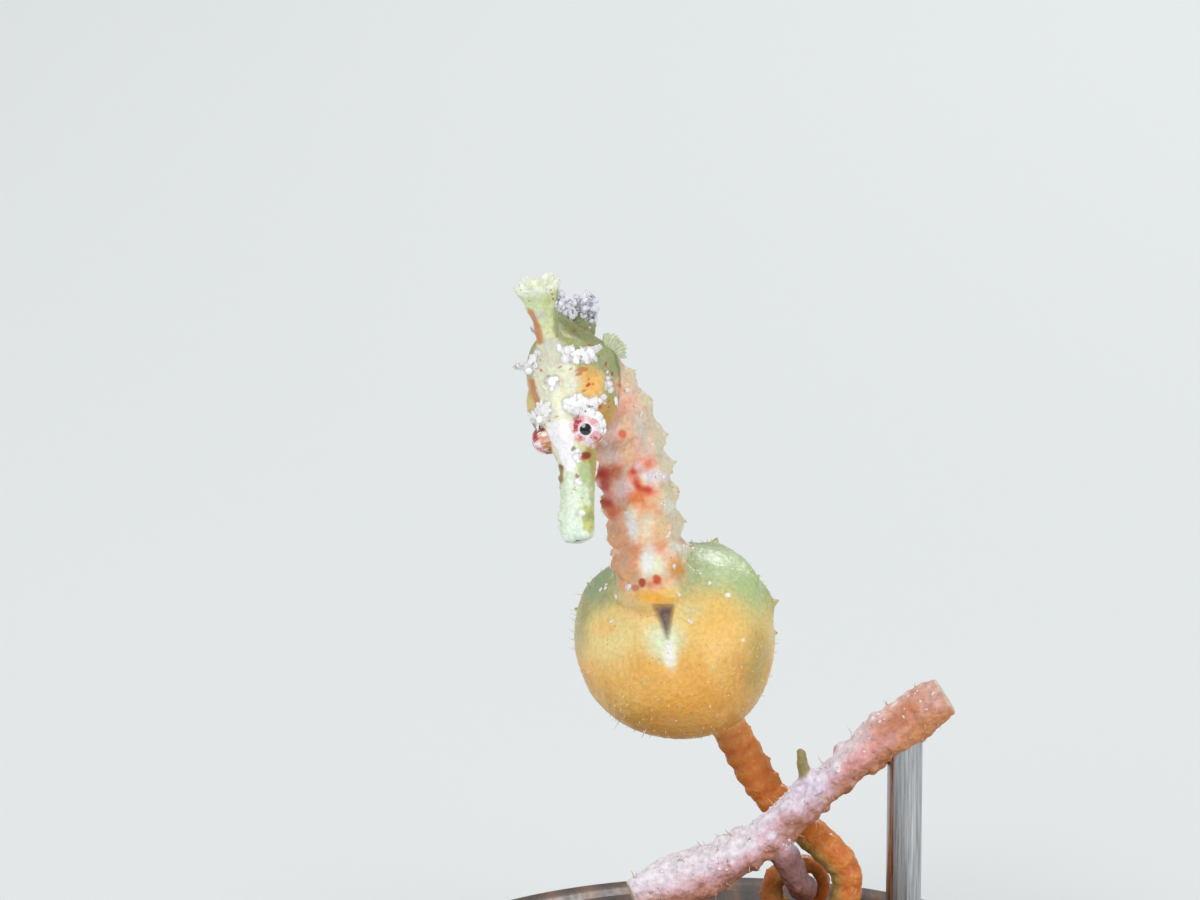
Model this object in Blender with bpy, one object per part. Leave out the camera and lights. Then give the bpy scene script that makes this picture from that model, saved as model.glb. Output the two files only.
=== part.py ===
"""A still, life-size model of a brooding male pygmy seahorse, its tail round a cut length of
stem that two rods hold over a round base.

Sizes are in millimetres here, and put_in_scene() scales each finished mesh to metres.
The front of the model is -Y, +Z is up, and the origin is the middle of the base's underside.
The animal looks towards -Y, so its own left is at +X.
"""
import math
import random

import bmesh
import bpy
from mathutils import Matrix, Vector

MM = 0.001
GAP = 0.05

# Head: its origin lies midway between the eyes, local -Y runs to the snout and +Z to the crown.
HEAD_ORIGIN = (-2.26, -1.46, 9.78)
HEAD_HEADING = math.radians(7)
HEAD_DOWN = math.radians(53)
HEAD_ROLL = math.radians(-28)
HEAD_AROUND = 24
# Stations from the snout's tip to the back of the skull: back, the middle's shift to the left,
# half width, top, bottom, squareness.
HEAD_STATIONS = (
    (-1.60, 0.030, 0.210, 0.160, 0.160, 2.8),
    (-1.48, 0.035, 0.240, 0.185, 0.185, 2.8),
    (-1.18, 0.055, 0.235, 0.185, 0.190, 2.8),
    (-0.85, 0.085, 0.238, 0.190, 0.210, 2.8),
    (-0.52, 0.100, 0.250, 0.235, 0.310, 2.5),
    (-0.25, 0.070, 0.300, 0.295, 0.420, 2.3),
    (0.05, 0.020, 0.340, 0.340, 0.500, 2.2),
    (0.40, 0.0, 0.440, 0.385, 0.620, 2.1),
    (0.75, 0.0, 0.520, 0.460, 0.700, 2.0),
    (1.05, 0.0, 0.520, 0.540, 0.660, 2.0),
    (1.30, 0.0, 0.420, 0.560, 0.520, 2.0),
    (1.50, 0.0, 0.200, 0.440, 0.260, 2.0),
)
SNOUT_JOIN = -0.55
MOUTH_DEPTH = 0.14
GILL_COVER_CENTRE = (0.335, 0.60, -0.26)
GILL_COVER_SIZE = (0.31, 0.48, 0.48)

# Head spines on each side: place, direction, length and root radius.
HEAD_SPINES = (
    ((0.22, 0.16, 0.26), (0.5, 0.1, 0.9), 0.20, 0.10),
    ((0.36, 0.42, -0.30), (0.9, 0.0, -0.5), 0.30, 0.09),
    ((0.40, 1.14, 0.10), (0.9, 0.1, 0.2), 0.28, 0.10),
    ((0.10, 0.62, 0.36), (0.3, 0.0, 0.9), 0.17, 0.09),
)
BROW_SPINE = ((0.0, -0.12, 0.22), (0.0, -0.3, 1.0), 0.16, 0.10)
SNOUT_BUMPS = (((0.23, -1.42, 0.06), (1.0, -0.2, 0.4)), ((0.08, -1.24, 0.13), (0.0, -0.2, 1.0)))
SNOUT_BUMP_LENGTH, SNOUT_BUMP_RADIUS = 0.10, 0.05
# Lips: middle, half axes. The upper one is a pair.
UPPER_LIP = ((0.10, 0.0, 0.055), (0.11, 0.06, 0.10))
LOWER_LIP = ((0.0, 0.01, -0.075), (0.16, 0.06, 0.085))
MOUTH_SIZE = (0.135, MOUTH_DEPTH, 0.022)
NOSTRIL, NOSTRIL_SIZE = (0.17, -0.34, 0.265), (0.026, 0.04, 0.05)
GILL_PORE, GILL_PORE_AXIS, GILL_PORE_RADIUS = (0.20, 1.02, 0.40), (0.4, 0.3, 0.8), 0.035

EYE_RADIUS = 0.225
EYE_PLACE, EYES_ASIDE = (0.28, 0.0, 0.05), 0.04
EYE_LOOKS = ((0.20, -0.36, 0.91), (-0.93, -0.25, 0.15))
ORBIT_INSET, ORBIT_RADIUS = 0.12, 0.30
LID_FORWARD, LID_RADIUS, LID_THICKNESS = 0.02, 0.27, 0.045

# Coronet: a column on the back of the crown that flares to a rim of five knobs.
CORONET_SEAT = (0.03, 1.06, 0.38)
CORONET_AXIS = (0.10, 0.74, 0.66)
CORONET_HEIGHT = 1.15
CORONET_STATIONS = (
    (0.0, 0.24), (0.20, 0.195), (0.38, 0.175), (0.58, 0.19), (0.78, 0.25), (0.93, 0.33), (1.0, 0.31),
)
CORONET_KNOBS = 5
CORONET_KNOB_DEPTH = 0.20

# Body route from the crest behind the coronet to the brood pouch: X, Y, Z, half width, half depth.
BODY_ROUTE = (
    (-2.55, -0.60, 11.23, 0.20, 0.22),
    (-2.36, -0.46, 10.97, 0.29, 0.31),
    (-2.12, -0.33, 10.67, 0.38, 0.39),
    (-1.84, -0.06, 10.26, 0.43, 0.44),
    (-1.46, 0.07, 9.52, 0.46, 0.49),
    (-1.29, 0.07, 8.72, 0.50, 0.54),
    (-1.17, 0.08, 8.09, 0.50, 0.55),
    (-1.07, 0.14, 7.46, 0.51, 0.56),
    (-0.96, 0.30, 6.76, 0.52, 0.57),
    (-0.86, 0.56, 6.20, 0.50, 0.50),
)
BELLY_TURN = math.radians(14)
TRUNK_RING = 0.44
TRUNK_RING_HEIGHT = 0.09
TRUNK_RIDGES = (0, 52, 104, 152, 208, 256, 308)
TRUNK_RIDGE_HEIGHT = 0.15
TRUNK_AROUND = 24
NECK_TO, UPPER_TRUNK_TO, LOWER_TRUNK_TO = 1.32, 3.08, 5.42
# Trunk spines: ridge angles, length and root radius.
TRUNK_SPINES = (((52, 104, 256, 308), 0.13, 0.14), ((152, 208), 0.11, 0.12))

# Brood pouch: the swollen last trunk rings, turned about an axis from the trunk to the tail.
POUCH_CENTRE = (-0.65, 0.84, 5.96)
POUCH_AXIS = (0.37, 0.44, -0.82)
POUCH_HALF_LENGTH = 1.40
POUCH_RADIUS = 1.44
POUCH_EGG = 0.09
POUCH_AROUND = 32
POUCH_BANDS = 18
POUCH_RINGS = 5
POUCH_RIDGES = (110, 155, 205, 250)
POUCH_RING_HEIGHT, POUCH_RIDGE_HEIGHT = 0.05, 0.09
# Shoulders of the pouch: direction from its middle, and the share that they swell by.
POUCH_LOBES = (((-0.85, 0.14, 0.50), 0.08), ((0.58, 0.21, 0.78), 0.07), ((0.65, -0.20, -0.73), 0.05))
POUCH_LOBE_SPREAD = 0.50
SLIT_DIRECTION = (-0.12, -0.88, 0.42)
SLIT_LENGTH = 0.42
SLIT_WIDTH = 0.13
SLIT_DEPTH = 0.16
LIP_RADIUS = 0.06

# Tail: straight behind the stem, then a tightening coil round its side twig.
TAIL_ROUTE = (
    (-0.10, 1.10, 5.05, 0.28),
    (0.08, 1.13, 4.68, 0.27),
    (0.31, 1.12, 4.26, 0.26),
    (0.62, 1.03, 3.75, 0.255),
    (0.97, 0.90, 3.36, 0.25),
)
COIL_CENTRE = (1.20, 0.47, 2.32)
COIL_DIP = math.radians(15)
COIL_START, COIL_END = math.radians(30), math.radians(590)
COIL_OUTER, COIL_INNER = 0.70, 0.34
COIL_TIGHTEN = math.radians(300)
COIL_ADVANCE = 1.0
COIL_STEPS = 15
TAIL_TIP_RADIUS = 0.05
TAIL_RING = 0.27
TAIL_RING_HEIGHT = 0.09
TAIL_RIDGES = (45, 135, 225, 315)
TAIL_RIDGE_HEIGHT = 0.14
TAIL_AROUND = 16
TAIL_CUTS = (0.0, 2.05, 3.55, 4.85)

# Fins and nape wings: root thickness, edge thickness.
FIN_ROOT, FIN_EDGE = 0.20, 0.07
RAY_HEIGHT = 0.035
PECTORAL_AT, PECTORAL_ANGLE = 1.03, 100
PECTORAL_ROOT, PECTORAL_LENGTH, PECTORAL_SPREAD, PECTORAL_RAYS = 0.24, 0.42, math.radians(86), 9
DORSAL_RAYS = 11
DORSAL_HEIGHT, DORSAL_SUNK = 0.48, 0.10
DORSAL_FROM, DORSAL_TO = 0.30, 0.80
WING_AT, WING_ANGLE = 0.56, 143
WING_LENGTH, WING_CURL = 0.60, 0.16
WING_STATIONS = (
    (0, 0.19, 0.10), (0.35, 0.21, 0.085), (0.65, 0.20, 0.07), (0.88, 0.15, 0.05), (1, 0.06, 0.03),
)

# Perch: a cut length of stem with a side twig and a bract, X, Y, Z, radius.
STEM_ROUTE = (
    (-1.30, -0.20, 2.34, 0.34),
    (-0.85, -0.12, 2.52, 0.39),
    (-0.25, -0.03, 2.76, 0.36),
    (0.50, 0.10, 3.12, 0.31),
    (1.15, 0.22, 3.67, 0.27),
    (1.89, 0.42, 4.29, 0.30),
    (2.70, 0.54, 4.87, 0.34),
    (3.30, 0.60, 5.25, 0.31),
)
TWIG_ROUTE = (
    (0.72, 0.14, 3.26, 0.20),
    (0.98, 0.06, 2.86, 0.20),
    (1.18, 0.14, 2.44, 0.20),
    (1.20, 0.62, 2.28, 0.19),
    (1.20, 1.10, 2.15, 0.18),
    (1.20, 1.62, 2.02, 0.15),
)
BRACT_ROUTE = ((1.30, 0.27, 3.80, 0.13), (1.22, 0.30, 4.15, 0.12), (1.16, 0.32, 4.52, 0.07))
STEM_AROUND = 14

# Stand: a round base and two rods.
BASE_RADIUS = 5.2
BASE_HEIGHT = 1.0
BASE_EDGE = 0.22
ROD_RADIUS, ROD_AROUND = 0.26, 16
ROD_SOCKET = 0.45
ROD_PLACES = {"stand_rod_right": (-0.85, -0.12), "stand_rod_left": (2.70, 0.54)}

COLOURS = {
    "head": (0.72, 0.70, 0.38), "snout": (0.70, 0.74, 0.50), "coronet": (0.78, 0.74, 0.42),
    "eye": (0.85, 0.72, 0.72), "trunk": (0.84, 0.50, 0.36), "pouch": (0.74, 0.50, 0.16),
    "tail": (0.62, 0.33, 0.10), "fin": (0.80, 0.76, 0.62), "stem": (0.72, 0.62, 0.60),
    "wood": (0.16, 0.09, 0.05), "steel": (0.62, 0.62, 0.62),
}


# Meshes

def clear_scene():
    for thing in list(bpy.data.objects):
        bpy.data.objects.remove(thing, do_unlink=True)


def collection(name):
    made = bpy.data.collections.new(name)
    bpy.context.scene.collection.children.link(made)
    return made


def new_object(name, bm, where):
    bmesh.ops.recalc_face_normals(bm, faces=bm.faces)
    mesh = bpy.data.meshes.new(name)
    bm.to_mesh(mesh)
    bm.free()
    thing = bpy.data.objects.new(name, mesh)
    where.objects.link(thing)
    return thing


def loft(name, rings, where):
    """A closed solid through rings of equal count, with a fan of triangles over each end."""
    bm = bmesh.new()
    rows = [[bm.verts.new(point) for point in ring] for ring in rings]
    count = len(rows[0])
    for near, far in zip(rows, rows[1:]):
        for i in range(count):
            j = (i + 1) % count
            bm.faces.new((near[i], near[j], far[j]))
            bm.faces.new((near[i], far[j], far[i]))
    for row in (rows[0], rows[-1]):
        middle = bm.verts.new(sum((vert.co for vert in row), Vector()) / count)
        for i in range(count):
            bm.faces.new((row[i], row[(i + 1) % count], middle))
    return new_object(name, bm, where)


def cone(base, direction, length, radius, tip, sides, where):
    """A tapered piece from base along direction."""
    bm = bmesh.new()
    bmesh.ops.create_cone(bm, cap_ends=True, cap_tris=True, segments=sides,
                          radius1=radius, radius2=tip, depth=length)
    turn = Vector(direction).normalized().to_track_quat("Z", "Y").to_matrix().to_4x4()
    middle = Vector(base) + Vector(direction).normalized() * length / 2
    bmesh.ops.transform(bm, matrix=Matrix.Translation(middle) @ turn, verts=bm.verts)
    return new_object("cone", bm, where)


def ball(centre, size, turn, where, segments=16, rings=10):
    """An ellipsoid with half axes size, turned by the matrix turn."""
    bm = bmesh.new()
    bmesh.ops.create_uvsphere(bm, u_segments=segments, v_segments=rings, radius=1.0)
    scale = Matrix.Diagonal((*size, 1.0))
    matrix = Matrix.Translation(Vector(centre)) @ turn.to_4x4() @ scale
    bmesh.ops.transform(bm, matrix=matrix, verts=bm.verts)
    return new_object("ball", bm, where)


def hoop(centre, axis, major, minor, where, around, sides, stretch=1.0):
    """A ring about axis, stretched along the world's up where stretch isn't one."""
    bm = bmesh.new()
    turn = Vector(axis).normalized().to_track_quat("Z", "Y").to_matrix()
    rows = []
    for i in range(around):
        angle = 2 * math.pi * i / around
        out = Vector((math.cos(angle), math.sin(angle) * stretch, 0))
        row = []
        for k in range(sides):
            roll = 2 * math.pi * k / sides
            offset = out.normalized() * math.cos(roll) * minor + Vector((0, 0, math.sin(roll) * minor))
            row.append(bm.verts.new(Vector(centre) + turn @ (out * major + offset)))
        rows.append(row)
    for i in range(around):
        for k in range(sides):
            near, far = rows[i], rows[(i + 1) % around]
            bm.faces.new((near[k], near[(k + 1) % sides], far[(k + 1) % sides], far[k]))
    return new_object("hoop", bm, where)


def evaluated(thing):
    """Applies the object's modifiers."""
    graph = bpy.context.evaluated_depsgraph_get()
    graph.update()
    mesh = bpy.data.meshes.new_from_object(thing.evaluated_get(graph))
    thing.modifiers.clear()
    thing.data = mesh


def keep_largest(thing):
    """Drops every loose surface but the one with the most faces' area."""
    bm = bmesh.new()
    bm.from_mesh(thing.data)
    bmesh.ops.triangulate(bm, faces=bm.faces)
    left = set(bm.faces)
    groups = []
    while left:
        group, stack = set(), [left.pop()]
        while stack:
            face = stack.pop()
            group.add(face)
            for edge in face.edges:
                for other in edge.link_faces:
                    if other in left:
                        left.remove(other)
                        stack.append(other)
        groups.append(group)
    groups.sort(key=lambda group: sum(face.calc_area() for face in group), reverse=True)
    for group in groups[1:]:
        bmesh.ops.delete(bm, geom=list(group), context="FACES")
    bm.to_mesh(thing.data)
    bm.free()


def combine(thing, pieces, operation):
    """Joins the pieces to the thing, or cuts them from it, and removes them."""
    modifier = thing.modifiers.new("combine", "BOOLEAN")
    modifier.operation = operation
    modifier.solver = "EXACT"
    modifier.operand_type = "COLLECTION"
    modifier.collection = pieces
    evaluated(thing)
    for piece in list(pieces.objects):
        bpy.data.objects.remove(piece, do_unlink=True)
    bpy.data.collections.remove(pieces)
    keep_largest(thing)


def material(name, roughness=0.5, metallic=0.0):
    made = bpy.data.materials.get(name)
    if made is None:
        made = bpy.data.materials.new(name)
        made.use_nodes = True
        shader = made.node_tree.nodes["Principled BSDF"]
        shader.inputs["Base Color"].default_value = (*COLOURS[name], 1)
        shader.inputs["Roughness"].default_value = roughness
        shader.inputs["Metallic"].default_value = metallic
    return made


def put_in_scene(thing, name, colour, roughness=0.5, metallic=0.0):
    """Names a finished node, scales it to metres and gives it its material."""
    thing.name = name
    thing.data.name = name
    thing.data.transform(Matrix.Scale(MM, 4))
    thing.data.materials.clear()
    thing.data.materials.append(material(colour, roughness, metallic))
    thing.data.shade_smooth()
    thing.data.set_sharp_from_angle(angle=math.radians(40))


# Routes

def smooth(points, place):
    """The point at place, counted in points, on a smooth curve through them all."""
    last = len(points) - 1
    i = min(int(place), last - 1)
    t = place - i
    p0, p1, p2, p3 = (points[max(0, min(last, i + k))] for k in (-1, 0, 1, 2))
    return [0.5 * (2 * b + (c - a) * t + (2 * a - 5 * b + 4 * c - d) * t * t
                   + (3 * b - a - 3 * c + d) * t ** 3) for a, b, c, d in zip(p0, p1, p2, p3)]


class Route:
    """A smooth curve that is read by the length along it."""

    def __init__(self, points, steps=24):
        count = (len(points) - 1) * steps
        self.samples = [smooth(points, i / steps) for i in range(count + 1)]
        self.lengths = [0.0]
        for a, b in zip(self.samples, self.samples[1:]):
            self.lengths.append(self.lengths[-1] + (Vector(b[:3]) - Vector(a[:3])).length)
        self.length = self.lengths[-1]

    def read(self, along):
        along = max(0.0, min(self.length, along))
        i = 0
        while i < len(self.lengths) - 2 and self.lengths[i + 1] < along:
            i += 1
        span = self.lengths[i + 1] - self.lengths[i]
        t = (along - self.lengths[i]) / span if span else 0.0
        return [a + (b - a) * t for a, b in zip(self.samples[i], self.samples[i + 1])]

    def place(self, along):
        return Vector(self.read(along)[:3])

    def tangent(self, along, step=0.03):
        return (self.place(along + step) - self.place(along - step)).normalized()


def across(vector, axis):
    """The part of the vector at right angles to the axis, one long."""
    return (vector - axis * vector.dot(axis)).normalized()


def peak(angle, centres, width):
    """How near an angle in degrees is to the nearest centre: one on it and nought past width."""
    nearest = min(abs((angle - centre + 180) % 360 - 180) for centre in centres)
    return max(0.0, 1.0 - nearest / width)


# Body

def trunk_belly(place):
    return Vector((-math.sin(BELLY_TURN), -math.cos(BELLY_TURN), 0.0))


def body_axes(route, along, belly):
    """Forward, belly and left directions at a length along the route."""
    forward = route.tangent(along)
    front = across(belly(route.place(along)), forward)
    return forward, front, front.cross(forward)


def ringed_ring(route, along, belly, style, extra=0.0):
    """One cross-section of a ringed body: ridges run along it, and each ring stands up."""
    pitch, ring_height, ridges, ridge_height, around = style
    values = route.read(along)
    wide, deep = values[3], values[-1]
    _, front, left = body_axes(route, along, belly)
    swell = 0.5 - 0.5 * math.cos(2 * math.pi * along / pitch)
    points = []
    for i in range(around):
        angle = 360 * i / around
        ridge = peak(angle, ridges, 24)
        grow = 1.0 + ring_height * (swell - 0.5) + ridge_height * ridge * (0.35 + 0.65 * swell)
        a = math.radians(angle)
        out = front * math.cos(a) * deep + left * math.sin(a) * wide
        points.append(Vector(values[:3]) + out * (grow + extra / out.length))
    return points


def ringed_length(name, route, start, end, belly, style, where, extra=0.0, per_ring=3):
    """A length of ringed body between two flat ends, or one that is thicker all round by extra."""
    step = style[0] / per_ring
    stops = [start]
    inner = range(1, int(end / step) + 1)
    stops += [i * step for i in inner if start + 0.3 * step < i * step < end - 0.3 * step]
    stops.append(end)
    return loft(name, [ringed_ring(route, s, belly, style, extra) for s in stops], where)


TRUNK_STYLE = (TRUNK_RING, TRUNK_RING_HEIGHT, TRUNK_RIDGES, TRUNK_RIDGE_HEIGHT, TRUNK_AROUND)
TAIL_STYLE = (TAIL_RING, TAIL_RING_HEIGHT, TAIL_RIDGES, TAIL_RIDGE_HEIGHT, TAIL_AROUND)


def ring_spines(route, start, end, belly, style, angles, length, radius, where):
    """Small spines where the rings cross the given ridges, slightly uneven."""
    draw = random.Random(7)
    ring = math.ceil(start / style[0] - 0.5)
    while (ring + 0.5) * style[0] < end:
        along = (ring + 0.5) * style[0]
        ring += 1
        if along < start + radius:
            continue
        values = route.read(along)
        _, front, left = body_axes(route, along, belly)
        for angle in angles:
            a = math.radians(angle)
            out = front * math.cos(a) * values[-1] + left * math.sin(a) * values[3]
            size = length * draw.uniform(0.75, 1.15)
            root = Vector(values[:3]) + out * 0.90
            cone(root, out, size + out.length * 0.20, radius, radius * 0.15, 5, where)


def head_matrix():
    turn = (Matrix.Rotation(HEAD_HEADING, 4, "Z") @ Matrix.Rotation(HEAD_DOWN, 4, "X")
            @ Matrix.Rotation(HEAD_ROLL, 4, "Y"))
    return Matrix.Translation(Vector(HEAD_ORIGIN)) @ turn


def head_ring(back, place, grow):
    """One cross-section of the head and snout at a station."""
    _, aside, wide, top, bottom, square = smooth(HEAD_STATIONS, place)
    points = []
    for i in range(HEAD_AROUND):
        a = 2 * math.pi * i / HEAD_AROUND
        c, s = math.cos(a), math.sin(a)
        x = wide * math.copysign(abs(c) ** (2 / square), c)
        z = (top if s > 0 else bottom) * math.copysign(abs(s) ** (2 / square), s)
        bigger = 1 + grow / math.hypot(x, z)
        points.append(head_matrix() @ Vector((aside + x * bigger, back, z * bigger)))
    return points


def head_length(name, start, end, stops, where, grow=0.0):
    """The head's loft between two distances back from the eyes, or one that is thicker by grow."""
    rings = []
    for i in range(stops + 1):
        back = start + (end - start) * i / stops
        low, high = 0.0, len(HEAD_STATIONS) - 1.0
        for _ in range(30):
            middle = (low + high) / 2
            if smooth(HEAD_STATIONS, middle)[0] < back:
                low = middle
            else:
                high = middle
        shift = {0: -grow, stops: grow}.get(i, 0.0)
        rings.append(head_ring(back + shift, low, grow))
    return loft(name, rings, where)


def in_head(point):
    return head_matrix() @ Vector(point)


def head_direction(direction):
    return (head_matrix().to_3x3() @ Vector(direction)).normalized()


def mirrored(point, side):
    return (point[0] * side, point[1], point[2])


def eye_place(side):
    """Where an eye's middle lies, and which way it looks."""
    looks = EYE_LOOKS[0] if side == 1 else EYE_LOOKS[1]
    x, y, z = EYE_PLACE
    return in_head((EYES_ASIDE + x * side, y, z)), head_direction(looks)


def head_spine(place, direction, length, radius, where):
    cone(in_head(place), head_direction(direction), length, radius, radius * 0.2, 5, where)


def make_snout(parts):
    snout = head_length("snout", HEAD_STATIONS[0][0], SNOUT_JOIN - GAP / 2, 8, parts)
    turn = head_matrix().to_3x3()
    tip = Vector((HEAD_STATIONS[0][1], HEAD_STATIONS[0][0], 0))
    lips = collection("lips")
    for side in (-1, 1):
        ball(in_head(tip + Vector(mirrored(UPPER_LIP[0], side))), UPPER_LIP[1], turn, lips, 8, 5)
    ball(in_head(tip + Vector(LOWER_LIP[0])), LOWER_LIP[1], turn, lips, 10, 5)
    for place, direction in SNOUT_BUMPS:
        head_spine(place, direction, SNOUT_BUMP_LENGTH, SNOUT_BUMP_RADIUS, lips)
    combine(snout, lips, "UNION")
    mouth = collection("mouth")
    ball(in_head(tip), MOUTH_SIZE, turn, mouth, 12, 8)
    combine(snout, mouth, "DIFFERENCE")
    put_in_scene(snout, "snout", "snout", 0.45)


def skull(where, grow=0.0):
    """The back of the head with its gill covers, or a bigger copy that cuts the nodes round it."""
    head = head_length("head", SNOUT_JOIN + GAP / 2, HEAD_STATIONS[-1][0], 12, where, grow)
    covers = where if grow else collection("gill_covers")
    for side in (-1, 1):
        size = [half + grow for half in GILL_COVER_SIZE]
        ball(in_head(mirrored(GILL_COVER_CENTRE, side)), size, head_matrix().to_3x3(), covers, 14, 9)
    return head, covers


def make_head(parts):
    head, forms = skull(parts)
    turn = head_matrix().to_3x3()
    for side in (-1, 1):
        eye, looks = eye_place(side)
        ball(eye - looks * ORBIT_INSET, (ORBIT_RADIUS,) * 3, turn, forms, 14, 9)
        hoop(eye + looks * LID_FORWARD, looks, LID_RADIUS, LID_THICKNESS, forms, 16, 5)
        for place, direction, length, radius in HEAD_SPINES:
            head_spine(mirrored(place, side), mirrored(direction, side), length, radius, forms)
    head_spine(*BROW_SPINE, forms)
    combine(head, forms, "UNION")
    cuts = collection("head_cuts")
    for side in (-1, 1):
        ball(eye_place(side)[0], (EYE_RADIUS + GAP,) * 3, turn, cuts, 14, 9)
        ball(in_head(mirrored(NOSTRIL, side)), NOSTRIL_SIZE, turn, cuts, 8, 6)
        axis = head_direction(mirrored(GILL_PORE_AXIS, side))
        cone(in_head(mirrored(GILL_PORE, side)), axis, 0.3, GILL_PORE_RADIUS, GILL_PORE_RADIUS, 6, cuts)
    combine(head, cuts, "DIFFERENCE")
    put_in_scene(head, "head", "head", 0.5)


def make_eyes(parts):
    for side, name in ((1, "eye_left"), (-1, "eye_right")):
        centre, looks = eye_place(side)
        eye = ball(centre, (EYE_RADIUS,) * 3, looks.to_track_quat("Z", "Y").to_matrix(), parts, 14, 9)
        put_in_scene(eye, name, "eye", 0.15)


def coronet(where, grow=0.0):
    axis = head_direction(CORONET_AXIS)
    side = across(head_direction((1, 0, 0)), axis)
    back = axis.cross(side)
    start = in_head(CORONET_SEAT) - axis * grow
    count = CORONET_KNOBS * 4
    rings = []
    for share, radius in CORONET_STATIONS:
        flare = max(0.0, share - 0.6) / 0.4
        ring = []
        for i in range(count):
            a = 2 * math.pi * i / count
            knob = 0.5 + 0.5 * math.cos(CORONET_KNOBS * a)
            r = radius * (1 - CORONET_KNOB_DEPTH * flare * (1 - knob)) + grow
            lift = axis * (CORONET_HEIGHT * share + 0.07 * flare * knob)
            ring.append(start + lift + (side * math.cos(a) + back * math.sin(a)) * r)
        rings.append(ring)
    rings.append([start + axis * CORONET_HEIGHT * 0.93 + (point - start - axis * CORONET_HEIGHT) * 0.45
                  for point in rings[-1]])
    return loft("coronet", rings, where)


def make_coronet(parts):
    column = coronet(parts)
    cuts = collection("coronet_cuts")
    skull(cuts, GAP)
    combine(column, cuts, "DIFFERENCE")
    put_in_scene(column, "coronet", "coronet", 0.45)


def fin_frame(body, along, angle):
    """Place on the body's surface, and the outward, forward and round directions there."""
    values = body.read(along)
    forward, front, left = body_axes(body, along, trunk_belly)
    a = math.radians(angle)
    out = front * math.cos(a) * values[-1] + left * math.sin(a) * values[3]
    return Vector(values[:3]) + out * 0.80, out.normalized(), forward, forward.cross(out).normalized()


def fin(name, root, reach, thickness, rays, parts, grow=0.0, steps=4):
    """A fin between a root line and an edge, both read by a share across it. Rays stand up on
    both faces, and both faces are split into the same triangles. A grown copy, with no rays, is
    the cutter of the seat that the fin stands in."""
    count = 3 if grow else rays * 2 + 1
    bm = bmesh.new()
    faces = []
    for sign in (1, -1):
        grid = []
        for k in range(steps + 1):
            out = k / steps
            row = []
            for i in range(count):
                share = i / (count - 1)
                wide = (share - 0.5) * (1 + 2.5 * grow) + 0.5
                point = root(wide).lerp(reach(wide), out)
                if k == 0:
                    point -= (reach(wide) - root(wide)).normalized() * grow
                half = (FIN_ROOT + (FIN_EDGE - FIN_ROOT) * out) / 2 + grow
                ray = RAY_HEIGHT * (1 - 0.5 * out) if i % 2 or grow else 0.0
                row.append(bm.verts.new(point + thickness(share) * sign * (half + ray)))
            grid.append(row)
        faces.append(grid)
    front, back = faces
    for k in range(steps):
        for i in range(count - 1):
            for grid in (front, back):
                bm.faces.new((grid[k][i], grid[k][i + 1], grid[k + 1][i + 1]))
                bm.faces.new((grid[k][i], grid[k + 1][i + 1], grid[k + 1][i]))
    for i in range(count - 1):
        for k in (0, steps):
            bm.faces.new((front[k][i], front[k][i + 1], back[k][i + 1], back[k][i]))
    for k in range(steps):
        for i in (0, count - 1):
            bm.faces.new((front[k][i], front[k + 1][i], back[k + 1][i], back[k][i]))
    return new_object(name, bm, parts)


def pectoral(side, body, where, grow=0.0):
    """A fan of nine rays behind the gill cover, folded back along the neck."""
    base, out, forward, _ = fin_frame(body, PECTORAL_AT, 180 - side * (180 - PECTORAL_ANGLE))
    up = -forward
    lean = (across(Vector((0, 1, 0)), out) * 0.8 + out * 0.6).normalized()
    face = lean.cross(up).normalized()

    def root(share):
        return base + up * (0.5 - share) * PECTORAL_ROOT

    def reach(share):
        swing = (0.5 - share) * PECTORAL_SPREAD
        long = PECTORAL_LENGTH * (1 - 0.25 * abs(2 * share - 1) ** 2)
        return root(share) + (lean * math.cos(swing) + up * math.sin(swing)) * long

    name = "fin_pectoral_left" if side == 1 else "fin_pectoral_right"
    return fin(name, root, reach, lambda share: face, PECTORAL_RAYS, where, grow)


def nape_wing(side, body, where, grow=0.0):
    """One of the pair of flaps that stand on the nape."""
    base, out, forward, round_ = fin_frame(body, WING_AT, 180 - side * (180 - WING_ANGLE))
    rings = []
    for share, wide, thick in WING_STATIONS:
        reach = -grow if share == 0 else WING_LENGTH * share
        centre = base + out * reach - forward * WING_CURL * share ** 2
        ring = []
        for i in range(14):
            a = 2 * math.pi * i / 14
            frill = 1 + 0.15 * math.cos(3 * a)
            ring.append(centre + forward * math.cos(a) * (wide * frill + grow)
                        + round_ * math.sin(a) * (thick + grow))
        rings.append(ring)
    return loft("nape_wing_left" if side == 1 else "nape_wing_right", rings, where)


def make_side_pieces(parts, body):
    for side in (1, -1):
        fan = pectoral(side, body, parts)
        put_in_scene(fan, fan.name, "fin", 0.4)
        wing = nape_wing(side, body, parts)
        put_in_scene(wing, wing.name, "fin", 0.5)


def make_trunk(parts, body):
    lengths = (("neck", 0.0, NECK_TO - GAP / 2),
               ("trunk_upper", NECK_TO + GAP / 2, UPPER_TRUNK_TO - GAP / 2),
               ("trunk_lower", UPPER_TRUNK_TO + GAP / 2, LOWER_TRUNK_TO))
    for name, start, end in lengths:
        part = ringed_length(name, body, start, end, trunk_belly, TRUNK_STYLE, parts)
        spines = collection("spines")
        for angles, length, radius in TRUNK_SPINES if name != "neck" else ():
            ring_spines(body, start, end, trunk_belly, TRUNK_STYLE, angles, length, radius, spines)
        combine(part, spines, "UNION")
        cuts = collection("cuts")
        if name == "neck":
            skull(cuts, GAP)
            coronet(cuts, GAP)
            for side in (1, -1):
                nape_wing(side, body, cuts, GAP)
                pectoral(side, body, cuts, GAP)
        if name == "trunk_lower":
            pouch_solid(GAP, cuts)
        combine(part, cuts, "DIFFERENCE")
        put_in_scene(part, name, "trunk", 0.5)


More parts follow.
